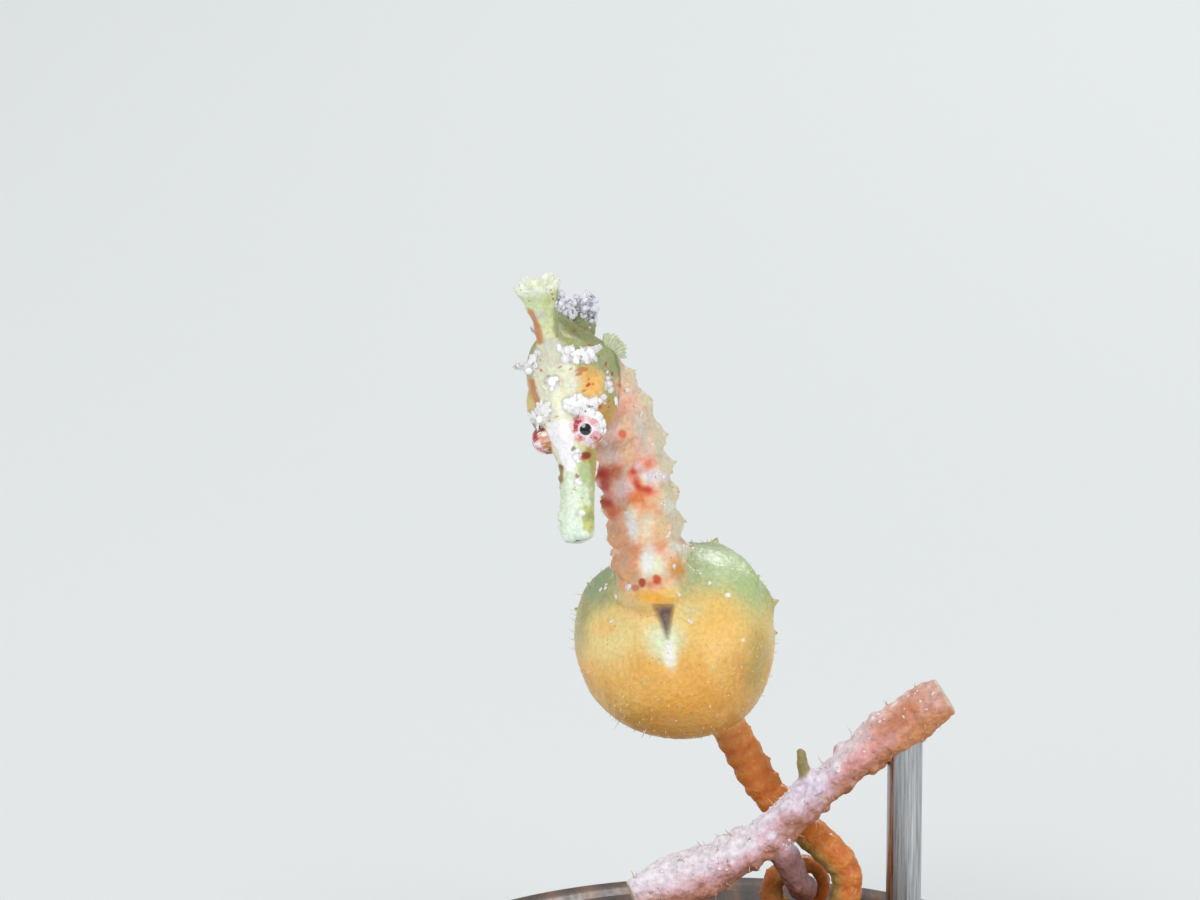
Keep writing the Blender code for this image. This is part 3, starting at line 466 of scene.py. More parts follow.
def remeshed(name, mesh, voxel):
    """One closed mesh round all the mesh's closed surfaces."""
    rough = new_object(name + "_rough", mesh)
    modifier = rough.modifiers.new("remesh", "REMESH")
    modifier.mode = "VOXEL"
    modifier.voxel_size = voxel
    modifier.adaptivity = 0.0
    graph = bpy.context.evaluated_depsgraph_get()
    made = bpy.data.meshes.new_from_object(rough.evaluated_get(graph))
    bpy.data.objects.remove(rough, do_unlink=True)
    made.name = name
    return made


def points_of(mesh):
    values = np.empty(len(mesh.vertices) * 3)
    mesh.vertices.foreach_get("co", values)
    return values.reshape(-1, 3)


def set_points(mesh, points):
    mesh.vertices.foreach_set("co", np.ascontiguousarray(points, dtype=np.float32).ravel())
    mesh.update()


def normals_of(mesh):
    values = np.empty(len(mesh.vertices) * 3, dtype=np.float32)
    mesh.vertex_normals.foreach_get("vector", values)
    return values.reshape(-1, 3).astype(float)


def relaxed(mesh, points, rounds, weight=None, share=0.5):
    """Points drawn towards the middle of their neighbours, as far as their weight says."""
    edges = np.empty(len(mesh.edges) * 2, dtype=np.int32)
    mesh.edges.foreach_get("vertices", edges)
    a, b = edges.reshape(-1, 2).T
    count = len(points)
    degree = np.maximum(np.bincount(a, minlength=count) + np.bincount(b, minlength=count), 1)
    for _ in range(rounds):
        middle = np.stack([np.bincount(a, points[b, k], count) + np.bincount(b, points[a, k], count)
                           for k in range(3)], 1) / degree[:, None]
        move = (middle - points) * share
        points = points + (move if weight is None else move * weight[:, None])
    return points


def paint(mesh, name, colours):
    """Stores linear colours on the mesh's points."""
    layer = mesh.color_attributes.new(name, "FLOAT_COLOR", "POINT")
    rows = np.concatenate([np.clip(colours, 0, 1), np.ones((len(colours), 1))], 1)
    layer.data.foreach_set("color", rows.astype(np.float32).ravel())


def place(thing, material, *replaced, slot=None):
    """Scales a finished piece to metres, gives it its material and hands it to the frame."""
    thing.data.transform(Matrix.Scale(MM, 4))
    thing.data.materials.clear()
    thing.data.materials.append(material)
    thing.data.shade_smooth()
    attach(thing, "root")
    if replaced:
        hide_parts(*replaced)
    return thing


# Materials

class Look:
    """A material in the making; its lengths are millimetres on the piece."""

    def __init__(self, name, roughness, metallic=0.0, coat=0.0, coat_roughness=0.15, alpha=1.0, scatter=0.0,
                 scatter_size=0.1, stretch=(1, 1, 1)):
        self.material = bpy.data.materials.new(name)
        self.material.use_nodes = True
        self.nodes, self.links = self.material.node_tree.nodes, self.material.node_tree.links
        self.main = self.nodes["Principled BSDF"]
        values = {"Roughness": roughness, "Metallic": metallic, "Coat Weight": coat,
                  "Coat Roughness": coat_roughness, "Alpha": alpha}
        if scatter:
            values.update({"Subsurface Weight": scatter, "Subsurface Scale": scatter_size * MM,
                           "Subsurface Radius": (1.0, 0.55, 0.35)})
        for key, value in values.items():
            self.main.inputs[key].default_value = value
        self.where = self.millimetres(stretch)

    def millimetres(self, stretch):
        """Texture coordinates that count millimetres, drawn out along an axis where stretch is small."""
        source = self.nodes.new("ShaderNodeTexCoord")
        mapping = self.nodes.new("ShaderNodeMapping")
        mapping.inputs["Scale"].default_value = [1 / MM * s for s in stretch]
        self.links.new(source.outputs["Object"], mapping.inputs["Vector"])
        return mapping.outputs["Vector"]

    def texture(self, kind, output, values, where=None):
        made = self.nodes.new(kind)
        for key, value in values.items():
            made.inputs[key].default_value = value
        self.links.new(self.where if where is None else where, made.inputs["Vector"])
        return made.outputs[output]

    def noise(self, scale, detail=3, rough=0.5, where=None):
        values = {"Scale": scale, "Detail": detail, "Roughness": rough}
        return self.texture("ShaderNodeTexNoise", "Fac", values, where)

    def cells(self, scale):
        return self.texture("ShaderNodeTexVoronoi", "Distance", {"Scale": scale})

    def ramp(self, value, *stops):
        """Each stop is a position and a colour or grey."""
        node = self.nodes.new("ShaderNodeValToRGB")
        node.color_ramp.interpolation = "EASE"
        while len(node.color_ramp.elements) < len(stops):
            node.color_ramp.elements.new(0.5)
        for element, (position, colour) in zip(node.color_ramp.elements, stops):
            element.position = position
            element.color = (*colour, 1) if hasattr(colour, "__len__") else (colour, colour, colour, 1)
        self.links.new(value, node.inputs["Fac"])
        return node.outputs["Color"]

    def mix(self, kind, factor, a, b):
        """A mix of two colours; each of the three may be a socket or a value."""
        node = self.nodes.new("ShaderNodeMix")
        node.data_type = "RGBA"
        node.blend_type = kind
        for socket, value in ((node.inputs[0], factor), (node.inputs[6], a), (node.inputs[7], b)):
            if isinstance(value, bpy.types.NodeSocket):
                self.links.new(value, socket)
            elif hasattr(value, "__len__"):
                socket.default_value = (*value, 1)
            else:
                socket.default_value = value
        return node.outputs[2]

    def marked(self, share, grain, *stops):
        """The markings stored on the piece, lightened and darkened by fine grain."""
        node = self.nodes.new("ShaderNodeAttribute")
        node.attribute_name = "Skin"
        return self.mix("MULTIPLY", share, node.outputs["Color"], self.ramp(grain, *stops))

    def specked(self, colour, amount, share, speck):
        """A colour with specks of another, as strong as a share of the amount."""
        return self.mix("MIX", self.mix("MULTIPLY", 1.0, amount, (share,) * 3), colour, tuple(rgb(*speck)))

    def use(self, name, value):
        self.links.new(value, self.main.inputs[name])

    def relief(self, height, distance, strength, under=None):
        """Bumps of the given height on the main shader, over those under them."""
        node = self.nodes.new("ShaderNodeBump")
        node.inputs["Strength"].default_value = strength
        node.inputs["Distance"].default_value = distance * MM
        self.links.new(height, node.inputs["Height"])
        if under is not None:
            self.links.new(under, node.inputs["Normal"])
        self.use("Normal", node.outputs["Normal"])
        return node.outputs["Normal"]


def skin_material():
    """Moist living skin: stored markings, fine grain, small scattered specks and a thin wet coat."""
    look = Look("seahorse_skin", 0.42, coat=0.18, scatter=0.35, scatter_size=0.16)
    colour = look.marked(0.6, look.noise(16.0, 4, 0.6), (0.30, 0.80), (0.70, 1.12))
    dots = look.ramp(look.cells(11.0), (0.10, 1.0), (0.17, 0.0))
    patches = look.ramp(look.noise(2.2, 2), (0.50, 0.0), (0.60, 1.0))
    amount = look.mix("MULTIPLY", 1.0, dots, patches)
    look.use("Base Color", look.specked(colour, amount, 0.45, (150, 82, 48)))
    look.use("Roughness", look.ramp(look.noise(7.0, 2), (0.3, 0.34), (0.7, 0.52)))
    pores = look.relief(look.cells(26.0), 0.010, 0.45)
    look.relief(look.noise(40.0), 0.006, 0.5, pores)
    return look.material


def eye_material():
    look = Look("seahorse_eye", 0.12, coat=1.0, coat_roughness=0.02)
    look.use("Base Color", look.marked(0.7, look.noise(60.0), (0.3, 0.85), (0.7, 1.08)))
    return look.material


def crust_material():
    """The white, granular growth on the spines, brows and nape."""
    look = Look("seahorse_crust", 0.60)
    look.use("Base Color", look.marked(0.7, look.noise(30.0), (0.3, 0.92), (0.7, 1.0)))
    look.relief(look.noise(70.0, 2), 0.003, 0.4)
    return look.material


def fin_material(name, alpha):
    """Thin, half clear membrane with paler rays."""
    look = Look(name, 0.32, coat=0.2, alpha=alpha, scatter=0.3, scatter_size=0.05)
    look.use("Base Color", look.marked(0.7, look.noise(20.0), (0.3, 0.86), (0.7, 1.06)))
    look.relief(look.noise(45.0, 2), 0.004, 0.5)
    return look.material


def perch_material():
    """The stem's crusted growth."""
    look = Look("perch_crust", 0.75, scatter=0.2, scatter_size=0.12)
    colour = look.marked(0.8, look.noise(9.0, 5, 0.65), (0.32, 0.72), (0.68, 1.12))
    pits = look.ramp(look.cells(8.0), (0.06, 1.0), (0.14, 0.0))
    look.use("Base Color", look.specked(colour, pits, 0.5, (108, 62, 62)))
    beads = look.relief(look.cells(14.0), 0.03, 0.6)
    look.relief(look.noise(30.0, 4), 0.015, 0.7, beads)
    return look.material


def wood_material():
    """Dark, oiled hardwood with fine rings."""
    look = Look("base_wood", 0.38, coat=0.25, stretch=(1.0, 0.16, 1.0))
    values = {"Scale": 0.55, "Distortion": 5.0, "Detail": 3.0, "Detail Scale": 1.4}
    bands = look.texture("ShaderNodeTexWave", "Fac", values)
    tone = look.ramp(bands, (0.0, tuple(rgb(58, 34, 22))), (0.6, tuple(rgb(86, 52, 33))),
                     (1.0, tuple(rgb(112, 70, 44))))
    fibre = look.noise(1.6, 4, where=look.millimetres((9.0, 0.7, 9.0)))
    look.use("Base Color", look.mix("MULTIPLY", 0.6, tone, look.ramp(fibre, (0.3, 0.6), (0.7, 1.15))))
    look.use("Roughness", look.ramp(fibre, (0.3, 0.30), (0.7, 0.50)))
    look.relief(fibre, 0.01, 0.35)
    return look.material


def steel_material():
    """Rods drawn through a die: fine scratches along their length."""
    look = Look("rod_steel", 0.28, metallic=1.0, stretch=(14.0, 14.0, 0.5))
    scratch = look.noise(2.0, 4)
    greys = ((0.3, tuple(rgb(150, 152, 156))), (0.7, tuple(rgb(205, 206, 208))))
    look.use("Base Color", look.ramp(scratch, *greys))
    look.use("Roughness", look.ramp(scratch, (0.3, 0.22), (0.7, 0.42)))
    look.relief(scratch, 0.004, 0.3)
    return look.material


def floor_material():
    look = Look("studio_floor", 0.85)
    pale = ((0.3, tuple(rgb(228, 233, 236))), (0.7, tuple(rgb(230, 235, 238))))
    look.use("Base Color", look.ramp(look.noise(0.01, 1), *pale))
    return look.material


# The animal's shapes

def head_turn():
    turn = (Matrix.Rotation(HEAD_HEADING, 3, "Z") @ Matrix.Rotation(HEAD_DOWN, 3, "X")
            @ Matrix.Rotation(HEAD_ROLL, 3, "Y"))
    return np.array(turn)


HEAD_TURN = head_turn()
SNOUT_TIP, SNOUT_ASIDE = HEAD_STATIONS[0][:2]
SKULL_BACK = HEAD_STATIONS[-1][0]


def in_head(point):
    """A point of the head's own frame in the row's."""
    return HEAD_ORIGIN + HEAD_TURN @ np.asarray(point, float)


def in_local(points):
    """Points of the row's frame in the head's own."""
    return (points - HEAD_ORIGIN) @ HEAD_TURN


def head_direction(direction):
    return unit(HEAD_TURN @ np.asarray(direction, float))


def mirrored(point, side):
    return np.array((point[0] * side, point[1], point[2]))


def head_profile(back):
    """The head's shift to its left, half width, top, bottom and squareness, by distance back."""
    table = Route([(row[0], 0, 0, *row[1:]) for row in HEAD_STATIONS], 16).rows
    return [np.interp(back, table[:, 0], table[:, k]) for k in (3, 4, 5, 6, 7)]


def eye_place(side):
    """Where an eye's middle lies, and which way its socket opens."""
    x, y, z = EYE_PLACE
    return in_head((EYE_ASIDE + x * side, y, z)), head_direction(EYE_LOOKS[side])


def add_skull(skin):
    """Head and snout in one loft of squared ovals."""
    rings = []
    angles = circle(HEAD_SIDES)
    c, s = np.cos(angles), np.sin(angles)
    for back in np.linspace(SNOUT_TIP, SKULL_BACK, HEAD_ROWS):
        aside, wide, top, bottom, square = head_profile(back)
        x = aside + wide * np.sign(c) * np.abs(c) ** (2 / square)
        z = np.where(s > 0, top, bottom) * np.sign(s) * np.abs(s) ** (2 / square)
        rings.append(HEAD_ORIGIN + np.stack([x, np.full(len(x), back), z], 1) @ HEAD_TURN.T)
    skin.rings(rings)


def add_snout_knobs(skin, side, draw):
    """Small uneven knobs along an upper edge of the snout."""
    back = SNOUT_KNOBS_FROM
    while back < SNOUT_KNOBS_TO:
        aside, wide, top, _, _ = head_profile(back)
        size = draw.uniform(0.018, 0.034)
        place = (aside + wide * side * draw.uniform(0.84, 0.97), back, top * draw.uniform(0.25, 0.75))
        skin.ball(in_head(place), (size * 1.1, size * 1.4, size), HEAD_TURN, 12, 8)
        back += draw.uniform(0.06, 0.13)


def add_crest(skin):
    """The crest that runs from the coronet to between the eyes."""
    angles = circle(24)
    rings = []
    for back in np.linspace(CREST_FROM, CREST_TO, 40):
        aside, _, top, _, _ = head_profile(back)
        wide = CREST_WIDTH + 0.04 * math.sin(5 * back)
        local = np.stack([aside + np.cos(angles) * wide, np.full(24, back),
                          top - CREST_SUNK + np.sin(angles) * CREST_HEIGHT], 1)
        rings.append(HEAD_ORIGIN + local @ HEAD_TURN.T)
    skin.rings(rings)


def head_thorn(skin, spine, side=1):
    root, direction, length, radius = spine
    skin.thorn(in_head(mirrored(root, side)), head_direction(mirrored(direction, side)), length, radius)


def add_head(skin):
    add_skull(skin)
    lip = np.array((SNOUT_ASIDE, SNOUT_TIP, 0.0))
    draw = random.Random(3)
    for side in (1, -1):
        skin.ball(in_head(lip + mirrored(UPPER_LIP, side)), UPPER_LIP_SIZE, HEAD_TURN)
        skin.ball(in_head(mirrored(GILL_COVER_CENTRE, side)), GILL_COVER_SIZE, HEAD_TURN, 48, 32)
        eye, looks = eye_place(side)
        skin.ball(eye - looks * ORBIT_INSET, (ORBIT_RADIUS,) * 3, HEAD_TURN, 40, 26)
        skin.hoop(eye - looks * LID_DEPTH, looks, *LID_HOOP)
        for spine in HEAD_SPINES:
            head_thorn(skin, spine, side)
        add_snout_knobs(skin, side, draw)
        for back, out, size in BROW_KNOBS:
            _, _, top, _, _ = head_profile(back)
            skin.ball(in_head((out * side, back, top * 0.80)), (size,) * 3, HEAD_TURN, 14, 9)
    skin.ball(in_head(lip + LOWER_LIP), LOWER_LIP_SIZE, HEAD_TURN)
    head_thorn(skin, BROW_SPINE)
    for place, size, around, rows in SNOUT_TUBERCLES:
        skin.ball(in_head(place), size, HEAD_TURN, around, rows)
    add_crest(skin)


def coronet_frame():
    axis = head_direction(CORONET_AXIS)
    side = across(head_direction((1, 0, 0)), axis)
    return in_head(CORONET_SEAT), axis, side, np.cross(axis, side)


def add_coronet(skin):
    """A column that flares to a rim of knobs round a shallow cup."""
    start, axis, side, back = coronet_frame()
    shares, radii = np.array(CORONET_STATIONS).T
    a = circle(CORONET_SIDES)
    knob = 0.5 + 0.5 * np.cos(CORONET_KNOBS * a)
    uneven = 0.03 * np.sin(2 * a + 1.0) + 0.02 * np.sin(7 * a)
    rings = []
    for share in np.linspace(shares[0], 1.0, 60):
        flare = max(0.0, share - 0.55) / 0.45
        r = np.interp(share, shares, radii) * (1 - 0.22 * flare ** 1.5 * (1 - knob) + uneven * (0.5 + share))
        r = r * (1 + 0.035 * math.sin(21 * share))
        lift = CORONET_HEIGHT * share + 0.09 * flare ** 2 * (knob - 0.3)
        out = np.cos(a)[:, None] * side + np.sin(a)[:, None] * back
        rings.append(start + lift[:, None] * axis + r[:, None] * out)
    rim = rings[-1]
    flat = rim - start
    flat = flat - (flat @ axis)[:, None] * axis
    for inward, sink in CORONET_CUP:
        middle = start + axis * (CORONET_HEIGHT + sink)
        lift = (1 - (1 - inward) * 4) if inward > 0.8 else 0.0
        height = ((rim - start) @ axis - CORONET_HEIGHT) * max(0.0, lift)
        rings.append(middle + flat * inward + height[:, None] * axis)
    skin.rings(rings)


def coil_points():
    """The coil's middle line and radii."""
    up = np.array((0, math.sin(COIL_DIP), math.cos(COIL_DIP)))
    away = np.array((0, math.cos(COIL_DIP), -math.sin(COIL_DIP)))
    root = TAIL_ROUTE[-1][3]
    points = []
    for i in range(COIL_STEPS + 1):
        share = i / COIL_STEPS
        angle = COIL_START + (COIL_END - COIL_START) * share
        tighten = min(1.0, (angle - COIL_START) / COIL_TIGHTEN)
        radius = COIL_OUTER + (COIL_INNER - COIL_OUTER) * tighten ** 1.5
        middle = (COIL_CENTRE + VIEW_RIGHT * radius * math.sin(angle) + up * radius * math.cos(angle)
                  + away * COIL_ADVANCE * share ** 1.1)
        points.append((*middle, root + (TAIL_TIP_RADIUS - root) * share ** 0.9))
    return points


BODY = Route(BODY_ROUTE)
TAIL = Route(list(TAIL_ROUTE) + coil_points(), 12)
TRUNK_FRONT = np.array((-math.sin(BELLY_TURN), -math.cos(BELLY_TURN), 0.0))


def body_axes(route, along, belly):
    forward = route.tangent(along)
    front = across(belly, forward)
    return forward, front, np.cross(front, forward)


def trunk_out(along, angle):
    """From the trunk's middle line to its surface at an angle from the belly, and the way down the body."""
    values = BODY.read(along)
    forward, front, left = body_axes(BODY, along, TRUNK_FRONT)
    a = math.radians(angle)
    return front * math.cos(a) * values[-1] + left * math.sin(a) * values[3], forward


def ringed(route, along, belly, pitch, ring_height, ridges, ridge_height, around):
    """A cross-section of plated body: sharp-edged rings with ridges that stand up on them."""
    values = route.read(along)
    _, front, left = body_axes(route, along, belly)
    angle = np.linspace(0, 360, around, endpoint=False)
    swell = 0.5 - 0.5 * math.cos(2 * math.pi * along / pitch)
    swell = swell ** 0.8
    ridge = peak(angle, ridges, RIDGE_WIDTH)
    ridge = ridge * ridge * (3 - 2 * ridge)
    grow = 1.0 + ring_height * (swell - 0.5) + ridge_height * ridge * (0.25 + 0.75 * swell)
    a = np.radians(angle)
    out = np.cos(a)[:, None] * front * values[-1] + np.sin(a)[:, None] * left * values[3]
    return values[:3] + out * grow[:, None]


def trunk_knobs():
    """Each crossing of a trunk ring and a ridge, from the shoulder to the pouch."""
    for ring in KNOB_RINGS:
        along = (ring + 0.5) * TRUNK_RING
        for angle in TRUNK_RIDGES[1:]:
            yield along, angle, *trunk_out(along, angle)


def add_trunk(skin):
    """The ringed body: smooth at the nape, then with blunt, uneven knobs where rings and ridges cross."""
    rings = []
    for s in np.linspace(0, BODY.length, 260):
        relief = 0.15 + 0.85 * float(step(s, 1.1, 2.0))
        rings.append(ringed(BODY, s, TRUNK_FRONT, TRUNK_RING, TRUNK_RING_HEIGHT * relief, TRUNK_RIDGES,
                            TRUNK_RIDGE_HEIGHT * relief, 96))
    skin.rings(rings)
    draw = random.Random(7)
    for along, angle, out, forward in trunk_knobs():
        length = (0.095 if angle in FLANK_RIDGES else 0.06) * draw.uniform(0.5, 1.3)
        lean = unit(unit(out) - forward * draw.uniform(-0.25, 0.35))
        centre = BODY.read(along)[:3]
        skin.thorn(centre + out * 0.92, lean, length + 0.15 * np.linalg.norm(out),
                   0.11 * draw.uniform(0.8, 1.15))
        for _ in range(3):
            shift = forward * draw.uniform(-0.13, 0.13)
            shift = shift + unit(np.cross(forward, out)) * draw.uniform(-0.13, 0.13)
            size = draw.uniform(0.025, 0.05)
            skin.ball(centre + out * 1.07 + shift, (size,) * 3, frame_of(out), 10, 7)
    for ring in SWELL_RINGS:
        along = (ring + 0.5) * TRUNK_RING
        for angle in SWELL_ANGLES:
            out, forward = trunk_out(along, angle + draw.uniform(-8, 8))
            size = draw.uniform(0.05, 0.09)
            place = BODY.read(along)[:3] + out * 0.98 + forward * draw.uniform(-0.1, 0.1)
            skin.ball(place, (size, size * 1.4, size * 0.7), frame_of(out), 12, 8)


def pouch_frame():
    axis = unit(POUCH_AXIS)
    front = across(np.array((-math.sin(BELLY_TURN), -1.0, -0.25)), axis)
    return axis, front, np.cross(front, axis)


def pouch_ring(share, angles):
    """Points round the pouch: share runs from -1 at the trunk to 1 at the tail."""
    axis, front, left = pouch_frame()
    back = 0.5 - 0.5 * np.cos(np.radians(angles))
    bend = math.sqrt(max(0.0, 1 - share * share))
    ring = 0.5 - 0.5 * math.cos(math.pi * (share + 1) * POUCH_RINGS)
    ridge = peak(angles, POUCH_RIDGES, POUCH_RIDGE_WIDTH)
    relief = back * bend * (POUCH_RING_HEIGHT * ring + POUCH_RIDGE_HEIGHT * ridge * (0.3 + 0.7 * ring))
    radius = (POUCH_RADIUS * (1 - POUCH_EGG * share) + relief) * bend
    a = np.radians(angles)
    out = (axis * share * POUCH_HALF_LENGTH
           + (np.cos(a)[:, None] * front + np.sin(a)[:, None] * left) * radius[:, None])
    swell = np.zeros(len(out))
    for lobe, height in POUCH_LOBES:
        turn = np.arccos(np.clip(out @ unit(lobe) / np.linalg.norm(out, axis=1), -1, 1))
        swell += height * np.exp(-(turn / POUCH_LOBE_SPREAD) ** 2)
    return POUCH_CENTRE + out * (1 + swell)[:, None]


def pouch_point(share, angle):
    return pouch_ring(share, np.array([float(angle)]))[0]


def add_pouch(skin):
    angles = np.linspace(0, 360, 150, endpoint=False)
    skin.rings([pouch_ring(-math.cos(math.pi * i / 110), angles) for i in range(1, 110)])
    draw = random.Random(11)
    for ring in range(POUCH_RINGS):
        share = (ring + 0.5) * 2 / POUCH_RINGS - 1
        for angle in POUCH_RIDGES:
            root = pouch_point(share, angle)
            out = unit(root - POUCH_CENTRE)
            skin.thorn(root - out * POUCH_THORN_SUNK, out, POUCH_THORN * draw.uniform(0.8, 1.2),
                       POUCH_THORN_RADIUS)


def add_tail(skin):
    rings = []
    for s in np.linspace(0, TAIL.length, 420):
        belly = COIL_CENTRE - TAIL.read(s)[:3]
        rings.append(ringed(TAIL, s, belly, TAIL_RING, TAIL_RING_HEIGHT, TAIL_RIDGES, TAIL_RIDGE_HEIGHT, 48))
    skin.rings(rings)
    draw = random.Random(5)
    along = 0.5 * TAIL_RING
    while along < TAIL.length - TAIL_BARE_TIP:
        values = TAIL.read(along)
        _, front, left = body_axes(TAIL, along, COIL_CENTRE - values[:3])
        for angle in TAIL_KNOB_ANGLES:
            a = math.radians(angle)
            out = (front * math.cos(a) + left * math.sin(a)) * values[3]
            length = 0.03 * draw.uniform(0.7, 1.3) + 0.2 * values[3]
            skin.thorn(values[:3] + out * 0.90, out, length, 0.33 * values[3], 8)
        along += TAIL_RING


def wing_frame(side):
    """A nape flap's root, its way out, the way down the body and the way through the flap."""
    out, forward = trunk_out(WING_AT, 180 - side * (180 - WING_ANGLE))
    return BODY.read(WING_AT)[:3] + out * WING_SEAT, unit(out), forward, unit(np.cross(forward, out))


def wing_middle(flap, share):
    """A flap's middle line, which curls up the body."""
    base, out, forward, _ = flap
    return base + out * WING_LENGTH * share - forward * WING_CURL * share ** 2


def add_wings(skin):
    """The pair of frilled flaps that stand on the nape."""
    shares, wides, thicks = np.array(WING_STATIONS).T
    a = circle(40)
    for side in (1, -1):
        flap = wing_frame(side)
        _, _, forward, through = flap
        rings = []
        for share in np.linspace(0, 1, 26):
            wide, thick = np.interp(share, shares, wides), np.interp(share, shares, thicks)
            frill = 1 + 0.16 * np.cos(3 * a) + 0.10 * np.sin(5 * a + 6 * share)
            rings.append(wing_middle(flap, share) + (np.cos(a) * wide * frill)[:, None] * forward
                         + (np.sin(a) * thick)[:, None] * through)
        skin.rings(rings)


# The photo's view

def photo_shift(x, y):
    """How far a pixel of the photo lies from its middle, across the view at the focus, in millimetres."""
    return VIEW_RIGHT * (x - PHOTO_SIZE[0] / 2) / PIXELS, VIEW_UP * (PHOTO_SIZE[1] / 2 - y) / PIXELS


def photo_ray(x, y):
    """Where the camera stands, and the way it looks through a pixel of the photo."""
    eye = FOCUS - VIEW * DISTANCE
    right, up = photo_shift(x, y)
    return eye, unit(FOCUS + right + up - eye)


def photo_point(x, y, depth):
    """The point behind a pixel of the photo at a depth past the focus."""
    k = (DISTANCE + depth) / DISTANCE
    right, up = photo_shift(x, y)
    return FOCUS + VIEW * depth + right * k + up * k


def in_photo(points):
    """Where points appear in the photo's frame."""
    away = points - FOCUS
    scale = PIXELS * DISTANCE / (DISTANCE + away @ VIEW)
    return PHOTO_SIZE[0] / 2 + away[:, 0] * scale, PHOTO_SIZE[1] / 2 - (away @ VIEW_UP) * scale


def inside(x, y, corners, soft):
    """One inside a polygon of photo pixels and nought outside it, with an edge soft pixels wide."""
    corners = np.array(corners, float)
    nearest = np.full(len(x), 1e9)
    crossings = np.zeros(len(x), int)
    for (ax, ay), (bx, by) in zip(corners, np.roll(corners, -1, axis=0)):
        dx, dy = bx - ax, by - ay
        t = np.clip(((x - ax) * dx + (y - ay) * dy) / (dx * dx + dy * dy + 1e-9), 0, 1)
        nearest = np.minimum(nearest, np.hypot(x - ax - t * dx, y - ay - t * dy))
        if ay != by:
            crossings += ((ay > y) != (by > y)) & (x < (bx - ax) * (y - ay) / (by - ay) + ax)
    signed = np.where(crossings % 2 == 1, nearest, -nearest)
    return step(signed, -soft / 2, soft / 2)


def oval(x, y, middle, size, tilt, soft):
    """One inside an ellipse of photo pixels and nought outside it; soft is a share of its size."""
    a = math.radians(tilt)
    dx, dy = x - middle[0], y - middle[1]
    u, v = dx * math.cos(a) + dy * math.sin(a), -dx * math.sin(a) + dy * math.cos(a)
    return 1 - step(np.hypot(u / size[0], v / size[1]), 1 - soft, 1 + soft)


class Seen:
    """Finds the skin behind a pixel of the photo, or near a point."""

    def __init__(self, mesh):
        points = [tuple(p) for p in points_of(mesh)]
        self.tree = BVHTree.FromPolygons(points, [tuple(f.vertices) for f in mesh.polygons])

    def at(self, x, y):
        eye, way = photo_ray(x, y)
        hit, normal, _, _ = self.tree.ray_cast(Vector(eye), Vector(way))
        if hit is None:
            return self.near(eye + way * (DISTANCE + 1.0))
        return np.array(hit), np.array(normal)

    def near(self, point):
        hit, normal, _, _ = self.tree.find_nearest(Vector(point))
        return np.array(hit), np.array(normal)


# The one skin

def regions(points):
    """How much each point belongs to the head, coronet, trunk, pouch and tail, and where it lies on them."""
    local = in_local(points)
    aside, wide, top, bottom, _ = head_profile(local[:, 1])
    high = np.where(local[:, 2] > 0, top, bottom)
    out = np.sqrt(((local[:, 0] - aside) / wide) ** 2 + (local[:, 2] / high) ** 2)
    past = np.maximum(0, local[:, 1] - SKULL_BACK) + np.maximum(0, SNOUT_TIP - local[:, 1])
    head = out + past * 4
    for side in (1, -1):
        head = np.minimum(head, gill_measure(local, side))
        eye, _ = eye_place(side)
        head = np.minimum(head, np.linalg.norm(points - eye, axis=1) / 0.30)
    start, axis, _, _ = coronet_frame()
    rise = (points - start) @ axis
    flat = np.linalg.norm(points - start - rise[:, None] * axis, axis=1)
    shares, radii = np.array(CORONET_STATIONS).T
    coronet = flat / np.interp(rise / CORONET_HEIGHT, shares, radii) + np.maximum(0, 0.22 - rise) * 6
    body_along, body, body_middle = BODY.nearest(points)
    pouch = np.linalg.norm(points - POUCH_CENTRE, axis=1) / POUCH_RADIUS
    pouch = np.maximum(pouch - 0.06, 0.98)
    tail_along, tail, tail_middle = TAIL.nearest(points)
    scores = np.stack([head * 1.02, coronet, body, pouch, tail], 1)
    weights = np.exp(-14 * np.maximum(0, scores - 1.0))
    weights /= weights.sum(1)[:, None]
    head, coronet, trunk, pouch, tail = weights.T
    return SimpleNamespace(points=points, local=local, rise=rise, head=head, coronet=coronet, trunk=trunk,
                           pouch=pouch, tail=tail, body_along=body_along, body_middle=body_middle,
                           tail_along=tail_along, tail_middle=tail_middle)


def gill_measure(local, side):
    """Distance from the middle of a gill cover, one at its edge."""
    return np.linalg.norm((local - mirrored(GILL_COVER_CENTRE, side)) / np.array(GILL_COVER_SIZE), axis=1)


def mouth_line(local, low, high, back):
    """One along the mouth's line and nought beside it."""
    level = 1 - step(np.abs(local[:, 2] - MOUTH_LEVEL), low, high)
    return level * (1 - step(local[:, 1], -1.62, back))


def head_relief(local):
    """Nostrils, gill pores, striae on the gill covers and the mouth."""
    lift = np.zeros(len(local))
    for side in (1, -1):
        for middle, reach, depth in HEAD_PITS:
            away = np.linalg.norm(local - mirrored(middle, side), axis=1)
            lift -= (1 - step(away, 0.0, reach)) * depth
        shift = local - mirrored(GILL_FAN, side)
        fan = np.arctan2(shift[:, 2], shift[:, 1])
        on = (1 - step(gill_measure(local, side), 1.0, 1.10)) * (local[:, 0] * side > 0.2)
        lift += on * np.sin(fan * GILL_STRIAE) * 0.005
    mouth = mouth_line(local, 0.0, 0.026, -1.52)
    return lift - mouth * 0.07 * (np.abs(local[:, 0] - MOUTH_MIDDLE) < 0.17)


